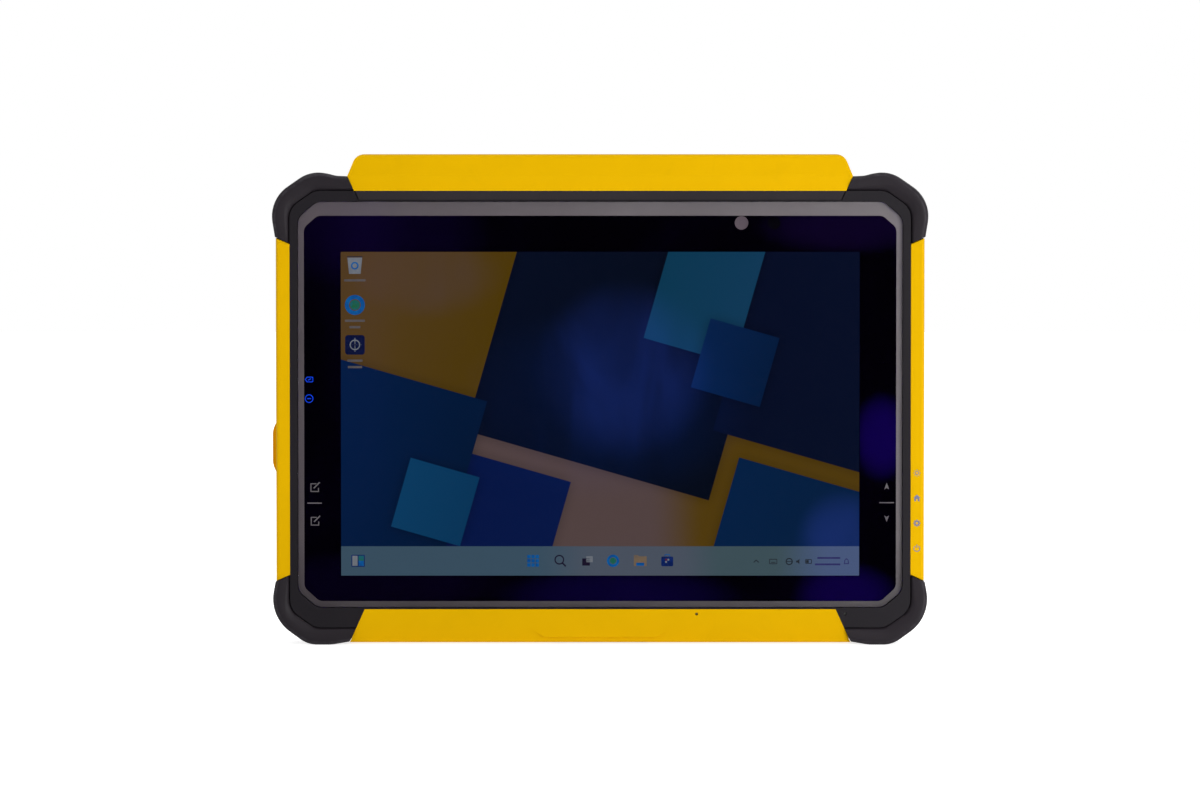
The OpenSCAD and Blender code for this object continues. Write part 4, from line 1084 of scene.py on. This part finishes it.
def paper():
    """A plain pale round floor, left out of mirror images so that the glass stays dark."""
    bm = bmesh.new()
    bmesh.ops.create_circle(bm, cap_ends=True, segments=96, radius=FLOOR_RADIUS)
    bmesh.ops.translate(bm, verts=bm.verts, vec=(0, 0, cad_low.z))
    mesh = bpy.data.meshes.new("paper")
    bm.to_mesh(mesh)
    bm.free()
    g = Graph("paper")
    tone = g.mix(g.spread(g.noise(0.004, 3), 0.4, 0.6), (0.90, 0.90, 0.90), (0.92, 0.92, 0.92))
    g.set(Base_Color=tone, Roughness=0.9, Specular_IOR_Level=0.1)
    seen = g.add("ShaderNodeLightPath").outputs["Is Camera Ray"]
    g.set(Emission_Color=(1.0, 1.0, 1.0), Emission_Strength=g.spread(seen, 0, 1, FLOOR_UNSEEN, FLOOR_SEEN))
    mesh.materials.append(g.material)
    floor = bpy.data.objects.new("paper", mesh)
    floor.visible_glossy = False
    bpy.context.scene.collection.objects.link(floor)


def softbox(name, offset, size, power):
    """A square light that faces the object and that the camera doesn't see."""
    data = bpy.data.lights.new(name, "AREA")
    data.shape = "SQUARE"
    data.size = size
    data.energy = power
    lamp = bpy.data.objects.new(name, data)
    lamp.location = CENTRE + Vector(offset)
    lamp.rotation_mode = "QUATERNION"
    lamp.rotation_quaternion = Vector(offset).to_track_quat("Z", "Y")
    lamp.visible_camera = False
    bpy.context.scene.collection.objects.link(lamp)


def surroundings():
    """Even light all round and a white backdrop; behind the viewer the light breaks into soft bands."""
    world = bpy.data.worlds.new("studio")
    bpy.context.scene.world = world
    world.use_nodes = True
    g = Nodes(world.node_tree)
    way = g.add("ShaderNodeTexCoord").outputs["Generated"]
    stretch = g.add("ShaderNodeVectorMath", operation="MULTIPLY_ADD")
    g.feed(stretch.inputs[0], way)
    stretch.inputs[1].default_value = WORLD_BANDS_STRETCH
    stretch.inputs[2].default_value = WORLD_BANDS_PLACE
    level = g.spread(g.noise(1.0, 2.0, 0.5, vector=stretch.outputs[0]), 0.45, 0.70, 0.0, 0.7, True)
    behind = g.spread(g.axis("Y", way), -0.80, -0.95)
    around = g.spread(behind, 0, 1, AMBIENT, level)
    seen = g.add("ShaderNodeLightPath").outputs["Is Camera Ray"]
    background = world.node_tree.nodes["Background"]
    g.feed(background.inputs["Color"], (1, 1, 1))
    g.feed(background.inputs["Strength"], g.spread(seen, 0, 1, around, 1.0))


paper()
surroundings()
for light in LIGHTS:
    softbox(*light)

bpy.context.scene.view_settings.view_transform = "Standard"

camera_data = bpy.data.cameras.new("camera")
camera_data.sensor_width = SENSOR
camera_data.lens = SENSOR * DISTANCE * FRAME_SHARE / (HIGH.x - LOW.x)
camera = bpy.data.objects.new("camera", camera_data)
back = Vector((0, -math.cos(ELEVATION), math.sin(ELEVATION)))
camera.location = CENTRE + back * DISTANCE - Vector((0, 0, AIM_DROP))
camera.rotation_mode = "QUATERNION"
camera.rotation_quaternion = back.to_track_quat("Z", "Y")
bpy.context.scene.collection.objects.link(camera)
bpy.context.scene.camera = camera
